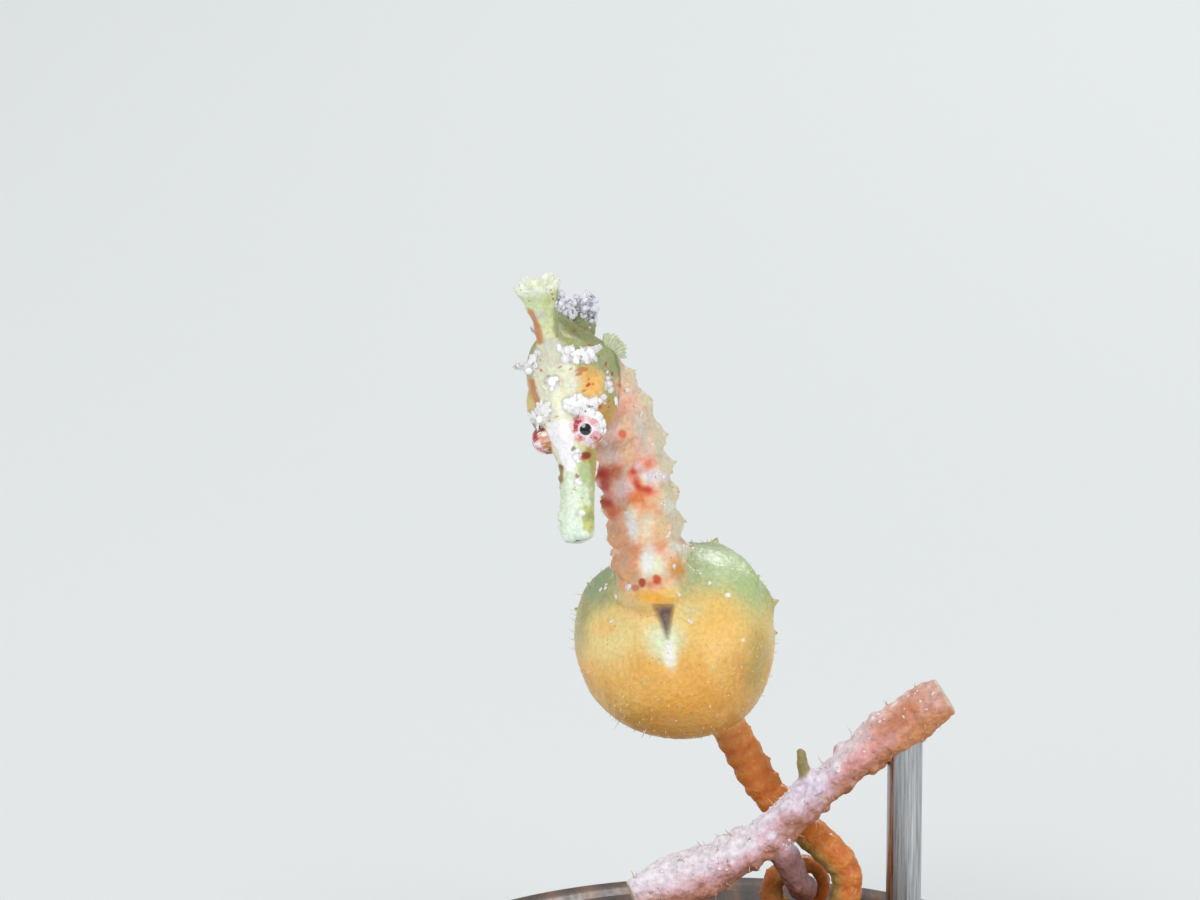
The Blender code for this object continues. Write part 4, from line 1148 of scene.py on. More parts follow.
def make_skin():
    """Every fleshy form joined, smoothed where parts meet, and carved."""
    forms = Surfaces()
    for add in (add_head, add_coronet, add_trunk, add_wings, add_pouch, add_tail):
        add(forms)
    mesh = remeshed("skin", forms.mesh("forms"), SKIN_VOXEL)
    points = relaxed(mesh, points_of(mesh), 3)
    joins = np.zeros(len(points))
    for middle, reach in ((BODY.read(BODY.length - 0.75)[:3], 0.75), (TAIL.read(0.15)[:3], 0.55),
                          (in_head((0, 1.30, 0.10)), 0.35)):
        joins = np.maximum(joins, 1 - step(np.linalg.norm(points - middle, axis=1), reach * 0.5, reach))
    points = relaxed(mesh, points, 10, joins * 0.8)
    set_points(mesh, points)
    at = regions(points)
    normals = normals_of(mesh)
    lift = cloud(points, 5.0, 3, 3) * 0.012 * (at.trunk + 0.5 * at.head + 0.4 * at.coronet)
    lift += cloud(points, 14.0, 9, 2) * 0.006
    lift += cloud(points, 1.3, 12, 2) * 0.020 * at.pouch
    near, far, _ = cells(points, 9.0, 20)
    lift += (at.trunk + at.tail) * (step(far - near, 0.0, 0.04) - 0.6) * 0.009
    # Shallow dimples on the pouch.
    near, far, _ = cells(points, 7.0, 31)
    lift += at.pouch * (step(far - near, 0.0, 0.07) - 0.5) * 0.003
    lift += head_relief(at.local)
    # The pouch's slit: a pit that narrows downwards, with a raised lip.
    x, y = in_photo(points)
    slit = (at.pouch + at.trunk > 0.5) * (normals @ -VIEW > 0)
    lift += slit * (inside(x, y, SLIT_SHAPE, 14) * 0.035 - inside(x, y, SLIT_SHAPE, 8) * 0.15)
    points = points + normals * lift[:, None]
    points = relaxed(mesh, points, 2, slit * inside(x, y, SLIT_SHAPE, 10))
    set_points(mesh, points)
    at.points, at.normals = points, normals_of(mesh)
    return mesh, at


# Markings. Places and sizes are pixels of the photo, colours 0 to 255.

SLIT_SHAPE = ((654, 607), (672, 607), (670, 620), (667, 638), (661, 622))
# Painted shade along the rear edge of the gill cover, where the head turns away from the light.
GILL_RIM_SHADE = ((576, 309), (595, 325), (607, 340), (615, 354), (619, 370), (620, 386), (617, 405))
# Fields: corners, softness, colour, strength and raggedness.
HEAD_FIELDS = (
    # Green nape, its darker upper part and its yellow patch.
    (((554, 309), (575, 305), (595, 323), (611, 344), (621, 366), (622, 386), (616, 411), (605, 415),
      (605, 398), (606, 376), (601, 362), (591, 352), (575, 346), (563, 344), (554, 331)),
     6, (166, 173, 118), 0.9, 3),
    (((557, 312), (573, 307), (590, 318), (606, 344), (600, 348), (580, 338), (563, 338), (556, 328)), 8,
     (142, 148, 98), 0.65, 4),
    (((561, 326), (569, 328), (571, 342), (564, 346), (560, 338)), 4, (178, 178, 92), 0.7, 2),
    # Cream crown and the brown band on its left.
    (((540, 344), (563, 342), (575, 366), (579, 386), (574, 400), (566, 417), (546, 423), (538, 406),
      (534, 386), (536, 366), (539, 352)), 9, (232, 232, 208), 0.85, 3),
    (((541, 337), (560, 338), (566, 352), (558, 368), (541, 362)), 9, (208, 208, 190), 0.7, 3),
    (((529, 379), (534, 380), (541, 402), (537, 408), (530, 394)), 4, (190, 122, 76), 0.85, 2),
    # Orange left side of the coronet.
    (((528, 309), (533, 311), (540, 325), (543, 343), (537, 343), (531, 327)), 4, (206, 136, 82), 0.85, 1.5),
    # Golden cheek below the orange patch.
    (((600, 396), (613, 394), (618, 404), (613, 424), (604, 428), (597, 412)), 6, (206, 162, 78), 0.85, 2),
    # White mask between the eyes.
    (((547, 425), (553, 422), (563, 419), (573, 422), (574, 431), (573, 445), (576, 461), (574, 472),
      (567, 470), (561, 459), (556, 447), (550, 439), (547, 431)), 1.2, (250, 247, 252), 1.0, 0.6),
    # Olive-gold skin under the eye and along the snout's right edge.
    (((586, 446), (598, 446), (598, 478), (592, 484), (590, 464), (582, 462)), 4, (186, 168, 84), 0.85, 1.5),
    (((577, 463), (590, 463), (593, 480), (588, 488), (581, 484)), 4, (186, 202, 146), 0.8, 1.5),
    (((584, 505), (595, 508), (598, 524), (591, 534), (583, 528)), 4, (200, 204, 122), 0.8, 1.5),
    (((557, 466), (563, 466), (563, 482), (559, 490)), 3, (160, 138, 84), 0.8, 1),
)
# The fields that also show on the head's far side.
FAR_FIELDS = HEAD_FIELDS[:3] + HEAD_FIELDS[7:8]
# Spots and washes: x, y, half width, half height, tilt in degrees, colour, strength and raggedness.
HEAD_SPOTS = (
    (583, 369, 7, 2.6, -12, (196, 92, 58), 0.7, 2.5), (579, 374, 4, 1.6, -20, (184, 78, 50), 0.7, 1.5),
    (588, 385, 3, 1.4, -35, (198, 66, 34), 1.0, 0.4), (593, 384, 1.2, 1.2, 0, (206, 84, 40), 0.9, 0.3),
    (589, 379, 1.3, 0.9, 0, (206, 84, 40), 0.9, 0.3), (584, 391, 2.2, 1.1, -20, (196, 84, 46), 0.8, 0.4),
    (606, 364, 1.2, 2.4, 20, (196, 60, 44), 1.0, 0.4), (612, 374, 1.3, 2.6, 10, (196, 60, 44), 1.0, 0.4),
    (607, 378, 1.8, 1.6, 0, (200, 64, 48), 0.95, 0.4), (613, 386, 1.2, 2.0, -10, (196, 60, 44), 0.9, 0.4),
    (599, 406, 3.2, 2.2, -15, (208, 66, 28), 1.0, 0.5), (595, 408, 1.8, 1.4, 0, (208, 66, 28), 0.9, 0.4),
    (609, 407, 1.0, 1.0, 0, (120, 72, 40), 0.9, 0.2), (609, 401, 0.9, 0.9, 0, (120, 72, 40), 0.9, 0.2),
    (554, 383, 6, 6, 0, (252, 250, 252), 1.0, 1.2), (552, 391, 2.5, 1.5, 0, (250, 246, 246), 0.9, 0.6),
    (574, 384, 2.4, 2.6, 0, (250, 246, 240), 0.8, 0.6), (548, 376, 1.6, 0.7, -30, (196, 90, 58), 0.9, 0.3),
    (546, 383, 0.8, 2.0, 10, (196, 90, 58), 0.9, 0.3), (556, 376, 1.6, 0.7, 0, (196, 90, 58), 0.9, 0.3),
    (560, 367, 2.4, 0.9, -30, (196, 100, 64), 0.9, 0.3), (571, 369, 2.0, 0.8, -30, (196, 100, 64), 0.9, 0.3),
    (541, 370, 1.8, 0.9, 30, (200, 100, 60), 0.9, 0.3), (540, 360, 1.2, 1.0, 0, (200, 100, 60), 0.8, 0.3),
    (566, 352, 1.4, 2.2, 0, (190, 70, 50), 0.9, 0.4), (589, 345, 2.2, 0.9, 10, (190, 70, 50), 0.9, 0.3),
    (574, 331, 1.8, 1.2, 30, (190, 66, 50), 0.95, 0.3), (585, 329, 1.8, 1.1, 20, (196, 90, 60), 0.9, 0.3),
    (592, 337, 1.0, 0.8, 0, (190, 80, 56), 0.8, 0.2), (599, 356, 1.4, 0.8, 0, (196, 80, 50), 0.9, 0.3),
    (557, 336, 1.0, 2.0, 10, (190, 100, 60), 0.8, 0.3), (561, 328, 3, 5, 0, (196, 206, 190), 0.5, 1),
    (540, 315, 5, 4, 0, (220, 204, 206), 0.7, 1), (548, 302, 3, 4, 20, (188, 196, 120), 0.5, 1),
    (552, 294, 1.8, 1.0, 40, (186, 80, 56), 0.9, 0.3), (553, 299, 1.0, 1.6, 0, (186, 80, 56), 0.9, 0.3),
    (551, 290, 1.4, 0.8, 0, (186, 80, 56), 0.8, 0.3), (529, 301, 1.4, 0.8, 30, (196, 110, 64), 0.8, 0.3),
    (556, 417, 2.6, 0.8, -5, (196, 90, 66), 0.8, 0.3), (549, 421, 1.6, 0.8, 10, (150, 70, 50), 0.7, 0.3),
    (586, 455, 5.0, 4.0, -10, (150, 52, 40), 1.0, 0.8), (583, 459, 3.0, 1.2, 0, (190, 90, 60), 0.8, 0.4),
    (578, 455, 3.4, 4.2, 10, (250, 246, 240), 0.9, 1.0), (561, 467, 1.6, 3.4, -25, (150, 84, 60), 0.85, 0.5),
    (556, 458, 1.2, 3.0, -20, (176, 130, 84), 0.7, 0.4),
    (577, 481, 4.6, 2.4, 10, (252, 250, 250), 0.95, 0.8),
    (577, 476, 1.6, 2.6, -30, (176, 60, 44), 0.9, 0.4), (574, 490, 2.0, 1.0, 20, (150, 90, 66), 0.8, 0.4),
    (582, 498, 0.9, 1.4, 0, (150, 110, 70), 0.7, 0.3), (569, 503, 6, 16, 0, (230, 240, 222), 0.6, 2),
    # The olive spots at (586, 518) and (591, 517) are painted shadow below and to the right of the white
    # tubercle at (582, 513).
    (567, 525, 5, 14, 0, (226, 240, 222), 0.6, 2), (586, 518, 4.6, 4.0, 0, (166, 176, 120), 0.7, 0.6),
    (582, 513, 3.2, 3.0, 0, (252, 254, 250), 0.95, 0.5),
    (591, 517, 4, 6, 10, (160, 166, 96), 0.6, 1), (601, 445, 3.6, 2.6, 0, (104, 64, 50), 0.9, 0.8),
    (565, 408, 7, 6, 0, (236, 240, 226), 0.5, 1.5), (613, 392, 5, 12, 5, (178, 176, 106), 0.6, 1.5),
)
HEAD_WASHES = (
    (592, 385, 12, 16, 8, (250, 190, 104), 0.95, 3), (588, 372, 8, 5, 0, (236, 190, 104), 0.7, 3),
    (600, 360, 8, 8, 0, (178, 194, 154), 0.6, 3), (558, 395, 10, 12, 0, (238, 238, 208), 0.6, 3),
    (571, 510, 6, 26, 0, (224, 242, 228), 0.7, 2), (584, 494, 6, 9, 0, (206, 226, 196), 0.7, 2),
)
TRUNK_WASHES = (
    # Pink and peach upper rings with a red dot.
    (612, 429, 10, 13, 20, (248, 202, 198), 0.9, 3), (628, 430, 9, 14, 0, (252, 200, 164), 0.9, 3),
    (612, 456, 12, 10, 0, (254, 210, 202), 0.95, 3), (629, 453, 8, 14, 0, (252, 194, 156), 0.8, 3),
    (641, 432, 8, 24, -14, (188, 206, 196), 0.8, 4), (613, 474, 8, 8, 0, (214, 124, 84), 0.85, 3),
    # Red and brown blotches down the left edge.
    (603, 474, 6, 6, 0, (190, 52, 42), 0.95, 2), (605, 485, 5, 8, 0, (172, 50, 44), 0.95, 2),
    (597, 485, 3, 4, 0, (228, 192, 214), 0.85, 1.5), (606, 502, 9, 6, 10, (168, 58, 36), 0.95, 3),
    (614, 512, 7, 7, 20, (190, 92, 46), 0.9, 3), (609, 494, 8, 4, 0, (218, 138, 132), 0.7, 3),
    # Lilac middle, then the red-edged pale knob on the right.
    (623, 489, 9, 12, 10, (240, 204, 210), 0.95, 3), (633, 471, 4, 6, 30, (204, 84, 50), 0.95, 2),
    (637, 484, 4, 9, -30, (202, 72, 48), 0.95, 2), (638, 466, 5, 4, 0, (240, 206, 212), 0.9, 1.5),
    (647, 463, 4, 4, 0, (220, 114, 86), 0.85, 2), (654, 476, 11, 5, 8, (236, 226, 246), 1.0, 2),
    (647, 490, 9, 4.5, 12, (196, 64, 34), 1.0, 2), (637, 498, 10, 7, 0, (228, 136, 72), 0.9, 3),
    (647, 508, 10, 8, 0, (240, 160, 112), 0.9, 3),
    # Two white streaks down the middle with peach beside them.
    (649, 526, 12, 13, 0, (254, 226, 198), 0.95, 4), (632, 528, 6, 14, -8, (248, 242, 242), 1.0, 3),
    (659, 535, 5, 9, 0, (242, 184, 138), 0.8, 3), (617, 530, 6, 12, 0, (200, 164, 134), 0.8, 3),
    (625, 548, 8, 10, 10, (212, 166, 126), 0.9, 3), (623, 564, 9, 9, 0, (194, 170, 146), 0.8, 3),
    (648, 562, 9, 14, 8, (250, 253, 250), 1.0, 3), (658, 567, 5, 11, 0, (254, 252, 210), 0.9, 2),
    # Gold sides and the orange band over the pouch.
    (677, 567, 7, 10, -10, (212, 156, 70), 0.95, 3), (629, 575, 9, 6, 0, (212, 168, 114), 0.8, 3),
    (655, 597, 17, 6, 3, (253, 184, 58), 1.0, 3), (670, 594, 8, 5, 0, (254, 212, 126), 0.9, 2),
    (669, 508, 7, 6, 20, (216, 228, 212), 0.9, 3), (662, 528, 5, 12, 0, (192, 202, 158), 0.7, 3),
    (677, 547, 9, 4, 25, (218, 234, 218), 0.9, 2),
)
TRUNK_SPOTS = (
    (622, 434, 3.6, 3.8, 0, (222, 104, 66), 0.9, 2), (642, 583, 3.6, 4.6, 0, (178, 74, 54), 0.95, 1.5),
    (657, 579, 4.6, 5, 0, (202, 86, 50), 0.95, 2), (650, 585, 3, 3, 0, (226, 140, 96), 0.8, 1.5),
    (635, 588, 4, 3, 0, (188, 112, 78), 0.8, 2), (628, 587, 3.2, 3.2, 0, (216, 202, 224), 0.95, 1),
)
POUCH_WASHES = (
    # Pale green shoulders, greyer on the left, with a painted highlight on the right.
    (722, 563, 32, 20, 15, (196, 218, 172), 0.85, 6), (748, 592, 20, 24, 0, (180, 204, 144), 0.8, 6),
    (598, 590, 18, 22, 20, (148, 168, 134), 0.8, 5), (582, 625, 8, 28, 0, (156, 154, 104), 0.6, 4),
    (708, 556, 12, 7, 0, (214, 230, 198), 0.8, 4),
    # Yellow sides of the slit, amber below it.
    (612, 641, 24, 24, 0, (244, 224, 156), 0.9, 6), (605, 628, 10, 8, 0, (248, 192, 108), 0.6, 4),
    (722, 628, 24, 26, 0, (250, 200, 108), 0.85, 6), (640, 692, 28, 22, 0, (248, 194, 102), 0.8, 6),
    (692, 702, 32, 24, 0, (252, 186, 88), 0.85, 6), (668, 727, 38, 13, 0, (238, 178, 90), 0.8, 5),
    (758, 662, 11, 34, 8, (178, 162, 84), 0.7, 4), (690, 612, 12, 8, 0, (230, 218, 156), 0.8, 3),
    # The pale wedge under the slit is a painted highlight.
    (664, 640, 17, 17, 0, (230, 243, 206), 0.95, 4), (670, 653, 6, 13, -8, (254, 254, 248), 1.0, 2),
    # The orange lip over the slit.
    (656, 597, 19, 6, 3, (255, 182, 52), 1.0, 3), (671, 594, 9, 5, 0, (255, 210, 120), 0.9, 2),
    (681, 572, 6, 9, -10, (222, 164, 74), 0.8, 3),
)
POUCH_SPOTS = (
    (728, 595, 2.6, 2.2, 0, (253, 253, 248), 1.0, 0.5), (743, 640, 2.0, 1.6, 0, (250, 248, 236), 0.95, 0.4),
)
# White plates of crust: x, y and radius.
PLATES = (
    (537, 353, 3.2), (533, 358, 3.0), (529, 364, 4.5), (522, 368, 5.0), (529, 371, 3.5), (517, 370, 3.2),
    (567, 351, 4.6), (566, 358, 4.0), (574, 354, 3.0), (572, 349, 2.6), (578, 357, 3.0), (584, 355, 4.6),
    (590, 353, 4.4), (593, 357, 4.6), (586, 360, 3.6), (582, 350, 2.4),
    (552, 382, 5.0), (556, 379, 3.0), (552, 389, 2.4),
    (609, 384, 3.2), (611, 390, 2.6), (608, 378, 2.2), (607, 372, 1.8), (604, 397, 2.6), (600, 401, 2.6),
    (596, 404, 2.6), (592, 408, 2.2),
    (568, 402, 4.2), (574, 404, 4.6), (571, 409, 4.2), (577, 411, 4.4), (580, 397, 3.2), (585, 401, 4.4),
    (583, 406, 3.6), (566, 407, 3.0), (575, 396, 2.4), (580, 416, 3.0),
    (544, 407, 3.6), (549, 404, 2.2), (547, 412, 3.0), (540, 412, 3.6), (534, 415, 4.6), (530, 420, 3.8),
    (537, 421, 3.4), (543, 417, 2.8),
    (577, 451, 2.2), (576, 457, 2.6), (578, 461, 1.8), (577, 481, 2.2), (580, 483, 2.0), (604, 442, 2.4),
    (570, 304, 2.6), (573, 302, 1.8),
)
# How tall the plates are, how far sunk, how finely divided and how uneven.
PLATE_FORM = (0.17, 0.05, 3, 0.20)
# Clusters of fine grains: x, y, half width, half height, florets, and grain size in millimetres.
CRUSTS = (
    (578, 354, 15, 8, 22, 0.014), (577, 405, 12, 9, 24, 0.014), (541, 413, 11, 9, 20, 0.014),
    (553, 383, 7, 6, 8, 0.012), (574, 384, 2, 2, 3, 0.012),
    (609, 384, 4, 9, 10, 0.013), (598, 402, 8, 5, 10, 0.013),
    (577, 456, 4, 6, 8, 0.012), (603, 444, 4, 3, 5, 0.013),
    (528, 365, 9, 6, 16, 0.014), (577, 481, 4, 2, 4, 0.010),
    (570, 303, 7, 4, 8, 0.013),
)
# Crust between these rows of the photo is copied to the head's far side, if that is this many mm off.
FAR_CRUST_TOP, FAR_CRUST_BOTTOM, FAR_CRUST_APART = 340, 450, 0.25
# Small crusts on the trunk and pouch: x, y, half width, half height.
TRUNK_CRUSTS = ((657, 476, 9, 4), (628, 587, 2, 2), (601, 527, 3, 3), (687, 547, 5, 3))
# White fronds behind the coronet: x of each, and the line their roots lie on.
FROND_PLACES, FROND_START, FROND_SLOPE = (556, 560, 565, 570, 576, 582, 588, 593), (556, 309), 0.35
# Long filaments at the pouch's left edge, and their depth past the focus in millimetres.
FILAMENT_ROOTS, FILAMENT_DEPTH = ((580, 622), (577, 633), (579, 641), (582, 650), (574, 616)), 3.3
# Washes on the perch: x, y, half width, half height, tilt in degrees, colour.
PERCH_WASHES = (
    (808, 786, 26, 20, -40, (230, 220, 242)), (680, 858, 90, 22, -24, (244, 238, 250)),
    (866, 756, 34, 9, -38, (238, 172, 170)), (900, 716, 34, 9, -40, (200, 124, 88)),
)
# How soft the edges of washes and spots are.
WASH_SOFT, SPOT_SOFT = 0.75, 0.30
# The head's middle plane lies this far to its left; marks are mirrored across it.
HEAD_MIDDLE = 0.02
# Nostril and gill pore: place in the head, radius and colour; the dark colour is painted shade in the pit.
HEAD_HOLES = (((0.17, -0.34, 0.26), 0.045, (110, 72, 56)), ((0.20, 1.05, 0.44), 0.05, (70, 62, 40)))
# How much the trunk is warmed and lightened; the lightening is painted light.
TRUNK_WARMTH_AND_LIGHT, LIGHTEST = np.array((0.24, 0.08, 0.07)), 0.97
LILAC, CRUST_WHITE, FLORET_WHITE = rgb(206, 200, 226), rgb(254, 253, 255), rgb(252, 252, 255)


def blend(a, b, share):
    """From a at nought to b at one."""
    share = np.clip(share, 0, 1)[:, None]
    return np.asarray(a) * (1 - share) + np.asarray(b) * share


def blot(colours, points, middle, radius, colour, strength, soft, seed=1, ragged=0.35):
    """Lays a ragged spot of colour on the points near middle."""
    away = np.linalg.norm(points - middle, axis=1)
    close = np.nonzero(away < radius * 1.8)[0]
    if not len(close):
        return
    rough = cloud(points[close], 1.6 / radius, seed, 2)
    edge = radius * (1 + ragged * rough)
    weight = (1 - step(away[close], edge * (1 - soft), edge)) * strength
    colours[close] = colours[close] * (1 - weight[:, None]) + np.asarray(colour) * weight[:, None]


def lay(colours, points, place, here, seed, fields=(), washes=(), spots=()):
    """Lays fields, washes and spots where here allows, their edges broken by noise."""
    chosen = np.nonzero(here > 0.001)[0]
    points, here, tones = points[chosen], here[chosen], colours[chosen]
    x, y = place[0][chosen], place[1][chosen]
    wander_x = cloud(points, 5.0, seed, 3) + 0.5 * cloud(points, 15.0, seed + 9, 2)
    wander_y = cloud(points, 5.0, seed + 5, 3) + 0.5 * cloud(points, 15.0, seed + 12, 2)

    def coat(cover, colour, strength):
        tones[:] += (cover * strength * here)[:, None] * (rgb(*colour) - tones)

    for corners, soft, colour, strength, ragged in fields:
        coat(inside(x + wander_x * ragged, y + wander_y * ragged, corners, soft), colour, strength)
    for marks, soft in ((washes, WASH_SOFT), (spots, SPOT_SOFT)):
        for mx, my, wide, high, tilt, colour, strength, ragged in marks:
            cover = oval(x + wander_x * ragged, y + wander_y * ragged, (mx, my), (wide, high), tilt, soft)
            coat(cover, colour, strength)
    colours[chosen] = tones


def head_tones(at):
    """Yellow-green, olive below, green at the nape, mint on the snout."""
    aside, back, up = np.abs(at.local[:, 0]), at.local[:, 1], at.local[:, 2]
    middle = 1 - step(aside, 0.14, 0.38)
    tone = blend(rgb(206, 202, 140), rgb(234, 232, 210), middle * step(up, 0.0, 0.25) + 0.12 * at.wave)
    tone = blend(tone, rgb(176, 172, 104), step(-up, -0.05, 0.35) * 0.8)
    tone = blend(tone, rgb(158, 172, 116), step(back, 0.80, 1.15) * step(aside, 0.08, 0.3))
    snout = blend(rgb(190, 198, 140), rgb(220, 234, 206), step(up, 0.02, 0.15) + 0.15 * at.fine)
    tone = blend(tone, snout, 1 - step(back, -0.75, -0.25))
    return blend(tone, rgb(226, 240, 226), 1 - step(back, -1.58, -1.25))


def coronet_tones(at):
    """Cream to green, its left side olive and its rim white."""
    rise = at.rise / CORONET_HEIGHT
    tone = blend(rgb(226, 224, 178), rgb(216, 228, 184), step(rise, 0.2, 0.7) + 0.1 * at.wave)
    left = 0.5 * step(at.local[:, 0], 0.10, 0.26)
    tone = blend(tone, rgb(196, 202, 132), left * (1 - step(rise, 0.8, 1.0)))
    return blend(tone, rgb(244, 248, 240), step(rise, 0.86, 1.0) * (0.7 + 0.4 * at.fine))


def trunk_tones(at):
    """Green nape, salmon upper rings, orange and white lower ones, olive-white left flank."""
    across_body = (at.points - at.body_middle)[:, 0]
    toward = (at.points - at.body_middle) @ -VIEW
    salmon = blend(rgb(250, 178, 150), rgb(255, 220, 204), 0.5 + 0.7 * at.wave)
    lower = blend(rgb(240, 160, 96), rgb(255, 224, 190), 0.5 + 0.8 * at.wave)
    tone = blend(salmon, lower, step(at.body_along, 2.2, 3.2))
    swell = 0.5 - 0.5 * np.cos(2 * math.pi * at.body_along / TRUNK_RING)
    tone = blend(tone, rgb(206, 116, 78), (1 - swell) ** 2 * 0.40 * (0.6 + 0.9 * at.fine))
    tone = blend(tone, rgb(196, 210, 184), step(across_body, 0.22, 0.44) * 0.85)
    tone = blend(tone, rgb(192, 154, 112), step(-across_body, 0.30, 0.5) * 0.6)
    behind = step(-toward, 0.05, 0.4)
    tan = blend(rgb(206, 156, 104), rgb(224, 206, 160), 0.5 + 0.8 * at.wave)
    tone = blend(tone, tan, behind * 0.7)
    ruddy = step(cloud(at.points, 3.1, 43, 3), 0.18, 0.42) * (at.body_along > 1.7)
    tone = blend(tone, rgb(200, 84, 62), ruddy * (0.30 + 0.35 * behind))
    pale = step(cloud(at.points, 2.6, 47, 3), 0.22, 0.46)
    tone = blend(tone, rgb(250, 236, 226), pale * 0.55)
    nape = (1 - step(at.body_along + 0.2 * at.wave, 0.95, 1.6)) * 0.95
    return blend(tone, rgb(156, 172, 118), nape)


def pouch_tones(at):
    """Green-grey above, yellow to golden across the middle, brown-gold below and behind."""
    way = (at.points - POUCH_CENTRE) / POUCH_RADIUS
    height = way @ VIEW_UP + 0.10 * at.wave
    tone = blend(rgb(240, 184, 90), rgb(244, 212, 132), step(height, -0.25, 0.30))
    tone = blend(tone, rgb(216, 158, 70), step(-height, 0.30, 0.95))
    tone = blend(tone, rgb(186, 200, 146), step(height, 0.35, 0.80))
    outer = step(np.hypot(way[:, 0], height), 0.90, 1.08)
    tone = blend(tone, rgb(150, 162, 112), outer * step(height, -0.2, 0.3) * 0.6)
    back = step(way @ VIEW, -0.05, 0.5)
    tone = blend(tone, blend(rgb(190, 160, 96), rgb(222, 180, 104), 0.5 + 0.9 * at.wave), back * 0.8)
    streaks = cloud(at.points * np.array((1.0, 1.0, 0.45)), 5.5, 44, 3)
    tone = blend(tone, rgb(250, 222, 150), step(streaks, 0.10, 0.45) * 0.35)
    return blend(tone, rgb(184, 122, 54), step(-streaks, 0.12, 0.45) * 0.35 * step(-height, -0.3, 0.3))


def tail_tones(at):
    """Orange, paler on the rings and olive inside the coil."""
    tone = blend(rgb(230, 138, 44), rgb(206, 106, 32), 0.5 + 0.8 * at.wave)
    ring = 0.5 - 0.5 * np.cos(2 * math.pi * at.tail_along / TAIL_RING)
    tone = blend(tone, rgb(230, 160, 72), ring * 0.35)
    inner = np.einsum("ij,ij->i", at.points - at.tail_middle, COIL_CENTRE - at.tail_middle)
    return blend(tone, rgb(156, 162, 100), step(inner, 0.02, 0.16) * step(at.tail_along, 2.0, 2.6) * 0.7)


def paint_flaps(colours, at):
    """Turns the nape's flaps lilac and white towards their edges, and says how far each point is flap."""
    flaps = np.zeros(len(at.points))
    pale = blend(rgb(206, 212, 236), rgb(248, 248, 252), 0.5 + at.fine)
    for side in (1, -1):
        base, out, forward, through = wing_frame(side)
        away = at.points - base
        share = away @ out / WING_LENGTH
        flap = step(share, 0.15, 0.65) * (1 - step(share, 1.2, 1.3))
        flap = flap * (1 - step(np.abs(away @ through), 0.12, 0.2))
        flap = flap * (1 - step(np.abs(away @ forward), 0.32, 0.45)) * (1 - at.coronet)
        colours[:] = blend(colours, pale, flap * 0.9)
        flaps = np.maximum(flaps, flap)
    return flaps


def paint_gills(colours, at):
    """Painted shade as darker rims along the rear edges of the gill covers, skin round the eyes and the
    orange far cheek.
    """
    for side in (1, -1):
        edge = 1 - step(gill_measure(at.local, side) - 1.0, 0.02, 0.14)
        edge = edge * step(at.local[:, 1], 0.78, 1.02)
        edge *= (at.local[:, 0] * side > 0.15) * at.head
        # Painted shade: a dark green rim where the head turns away from the light, laid along the gill
        # cover's rear edge.
        colours[:] = blend(colours, rgb(98, 120, 66), edge * 0.6)
        eye, looks = eye_place(side)
        blot(colours, at.points, eye + looks * 0.02, 0.30, rgb(222, 186, 160), 0.5, 0.6, 60 + side)
    blot(colours, at.points, in_head((-0.52, 0.50, -0.10)), 0.30, rgb(240, 184, 100), 0.8, 0.7, 49, 0.3)


def paint_specks(colours, at):
    """Red specks on the head and coronet, dark ones on the nape and cheeks, pale ones on the pouch."""
    near, _, mark = cells(at.points * np.array((1.0, 1.3, 0.7)), 11.0, 70)
    red = (1 - step(near, 0.007, 0.018)) * (mark > 0.60) * (at.flesh > 0.5) * step(at.local[:, 1], -0.5, 0.0)
    colours[:] = blend(colours, rgb(188, 84, 52), red * 0.85)
    near, _, mark = cells(at.points * np.array((1.2, 0.8, 1.2)), 15.0, 74)
    dark = (1 - step(near, 0.005, 0.013)) * (mark > 0.35)
    cheeks = at.head * step(np.abs(at.local[:, 0]), 0.2, 0.4)
    dark = dark * (cheeks + at.trunk * (at.body_along < 1.4) + 0.3)
    colours[:] = blend(colours, rgb(92, 84, 46), dark * 0.65 * (1 - at.pouch))
    near, _, mark = cells(at.points, 3.6, 82)
    pale = (1 - step(near, 0.008, 0.022)) * at.pouch * (mark > 0.35)
    colours[:] = blend(colours, rgb(250, 246, 226), pale * 0.9)


def paint_photo(colours, at, flaps):
    """The photo's own markings, with the head's mirrored on its far side."""
    here = (at.x, at.y)
    nape = at.flesh + at.trunk * (at.body_along < 1.3)
    near = at.front * step(nape, 0.4, 0.6) * (1 - flaps)
    left = HEAD_TURN[:, 0]
    there = in_photo(at.points + np.outer(2 * (HEAD_MIDDLE - at.local[:, 0]), left))
    turned = at.normals - 2 * np.outer(at.normals @ left, left)
    far = step(turned @ -VIEW, 0.0, 0.12) * step(HEAD_MIDDLE - at.local[:, 0], 0.0, 0.06)
    far = far * step(at.flesh, 0.4, 0.6)
    far = far * (1 - 0.7 * at.front) * (1 - flaps)
    # The fields get two coats.
    lay(colours, at.points, here, near, 100, fields=HEAD_FIELDS * 2)
    lay(colours, at.points, here, near, 105, washes=HEAD_WASHES, spots=HEAD_SPOTS)
    lay(colours, at.points, there, far, 110, fields=FAR_FIELDS * 2)
    lay(colours, at.points, there, far, 115, washes=HEAD_WASHES[:4], spots=HEAD_SPOTS)
    trunk, pouch = (at.front * step(part, 0.3, 0.6) for part in (at.trunk, at.pouch))
    lay(colours, at.points, here, trunk, 120, washes=TRUNK_WASHES, spots=TRUNK_SPOTS)
    lay(colours, at.points, here, pouch, 130, washes=POUCH_WASHES, spots=POUCH_SPOTS)
    # Dark, then pale skin under the plates of crust.
    under = [(x, y, r * 1.5, r * 1.4, 0, (132, 108, 92), 0.45, 1.5) for x, y, r in PLATES]
    under += [(x, y, r * 1.15, r * 1.05, 0, (252, 251, 254), 0.95, 1.5) for x, y, r in PLATES]
    lay(colours, at.points, here, at.front * step(at.flesh, 0.4, 0.6), 140, spots=under)
    lay(colours, at.points, there, far, 150, spots=under)


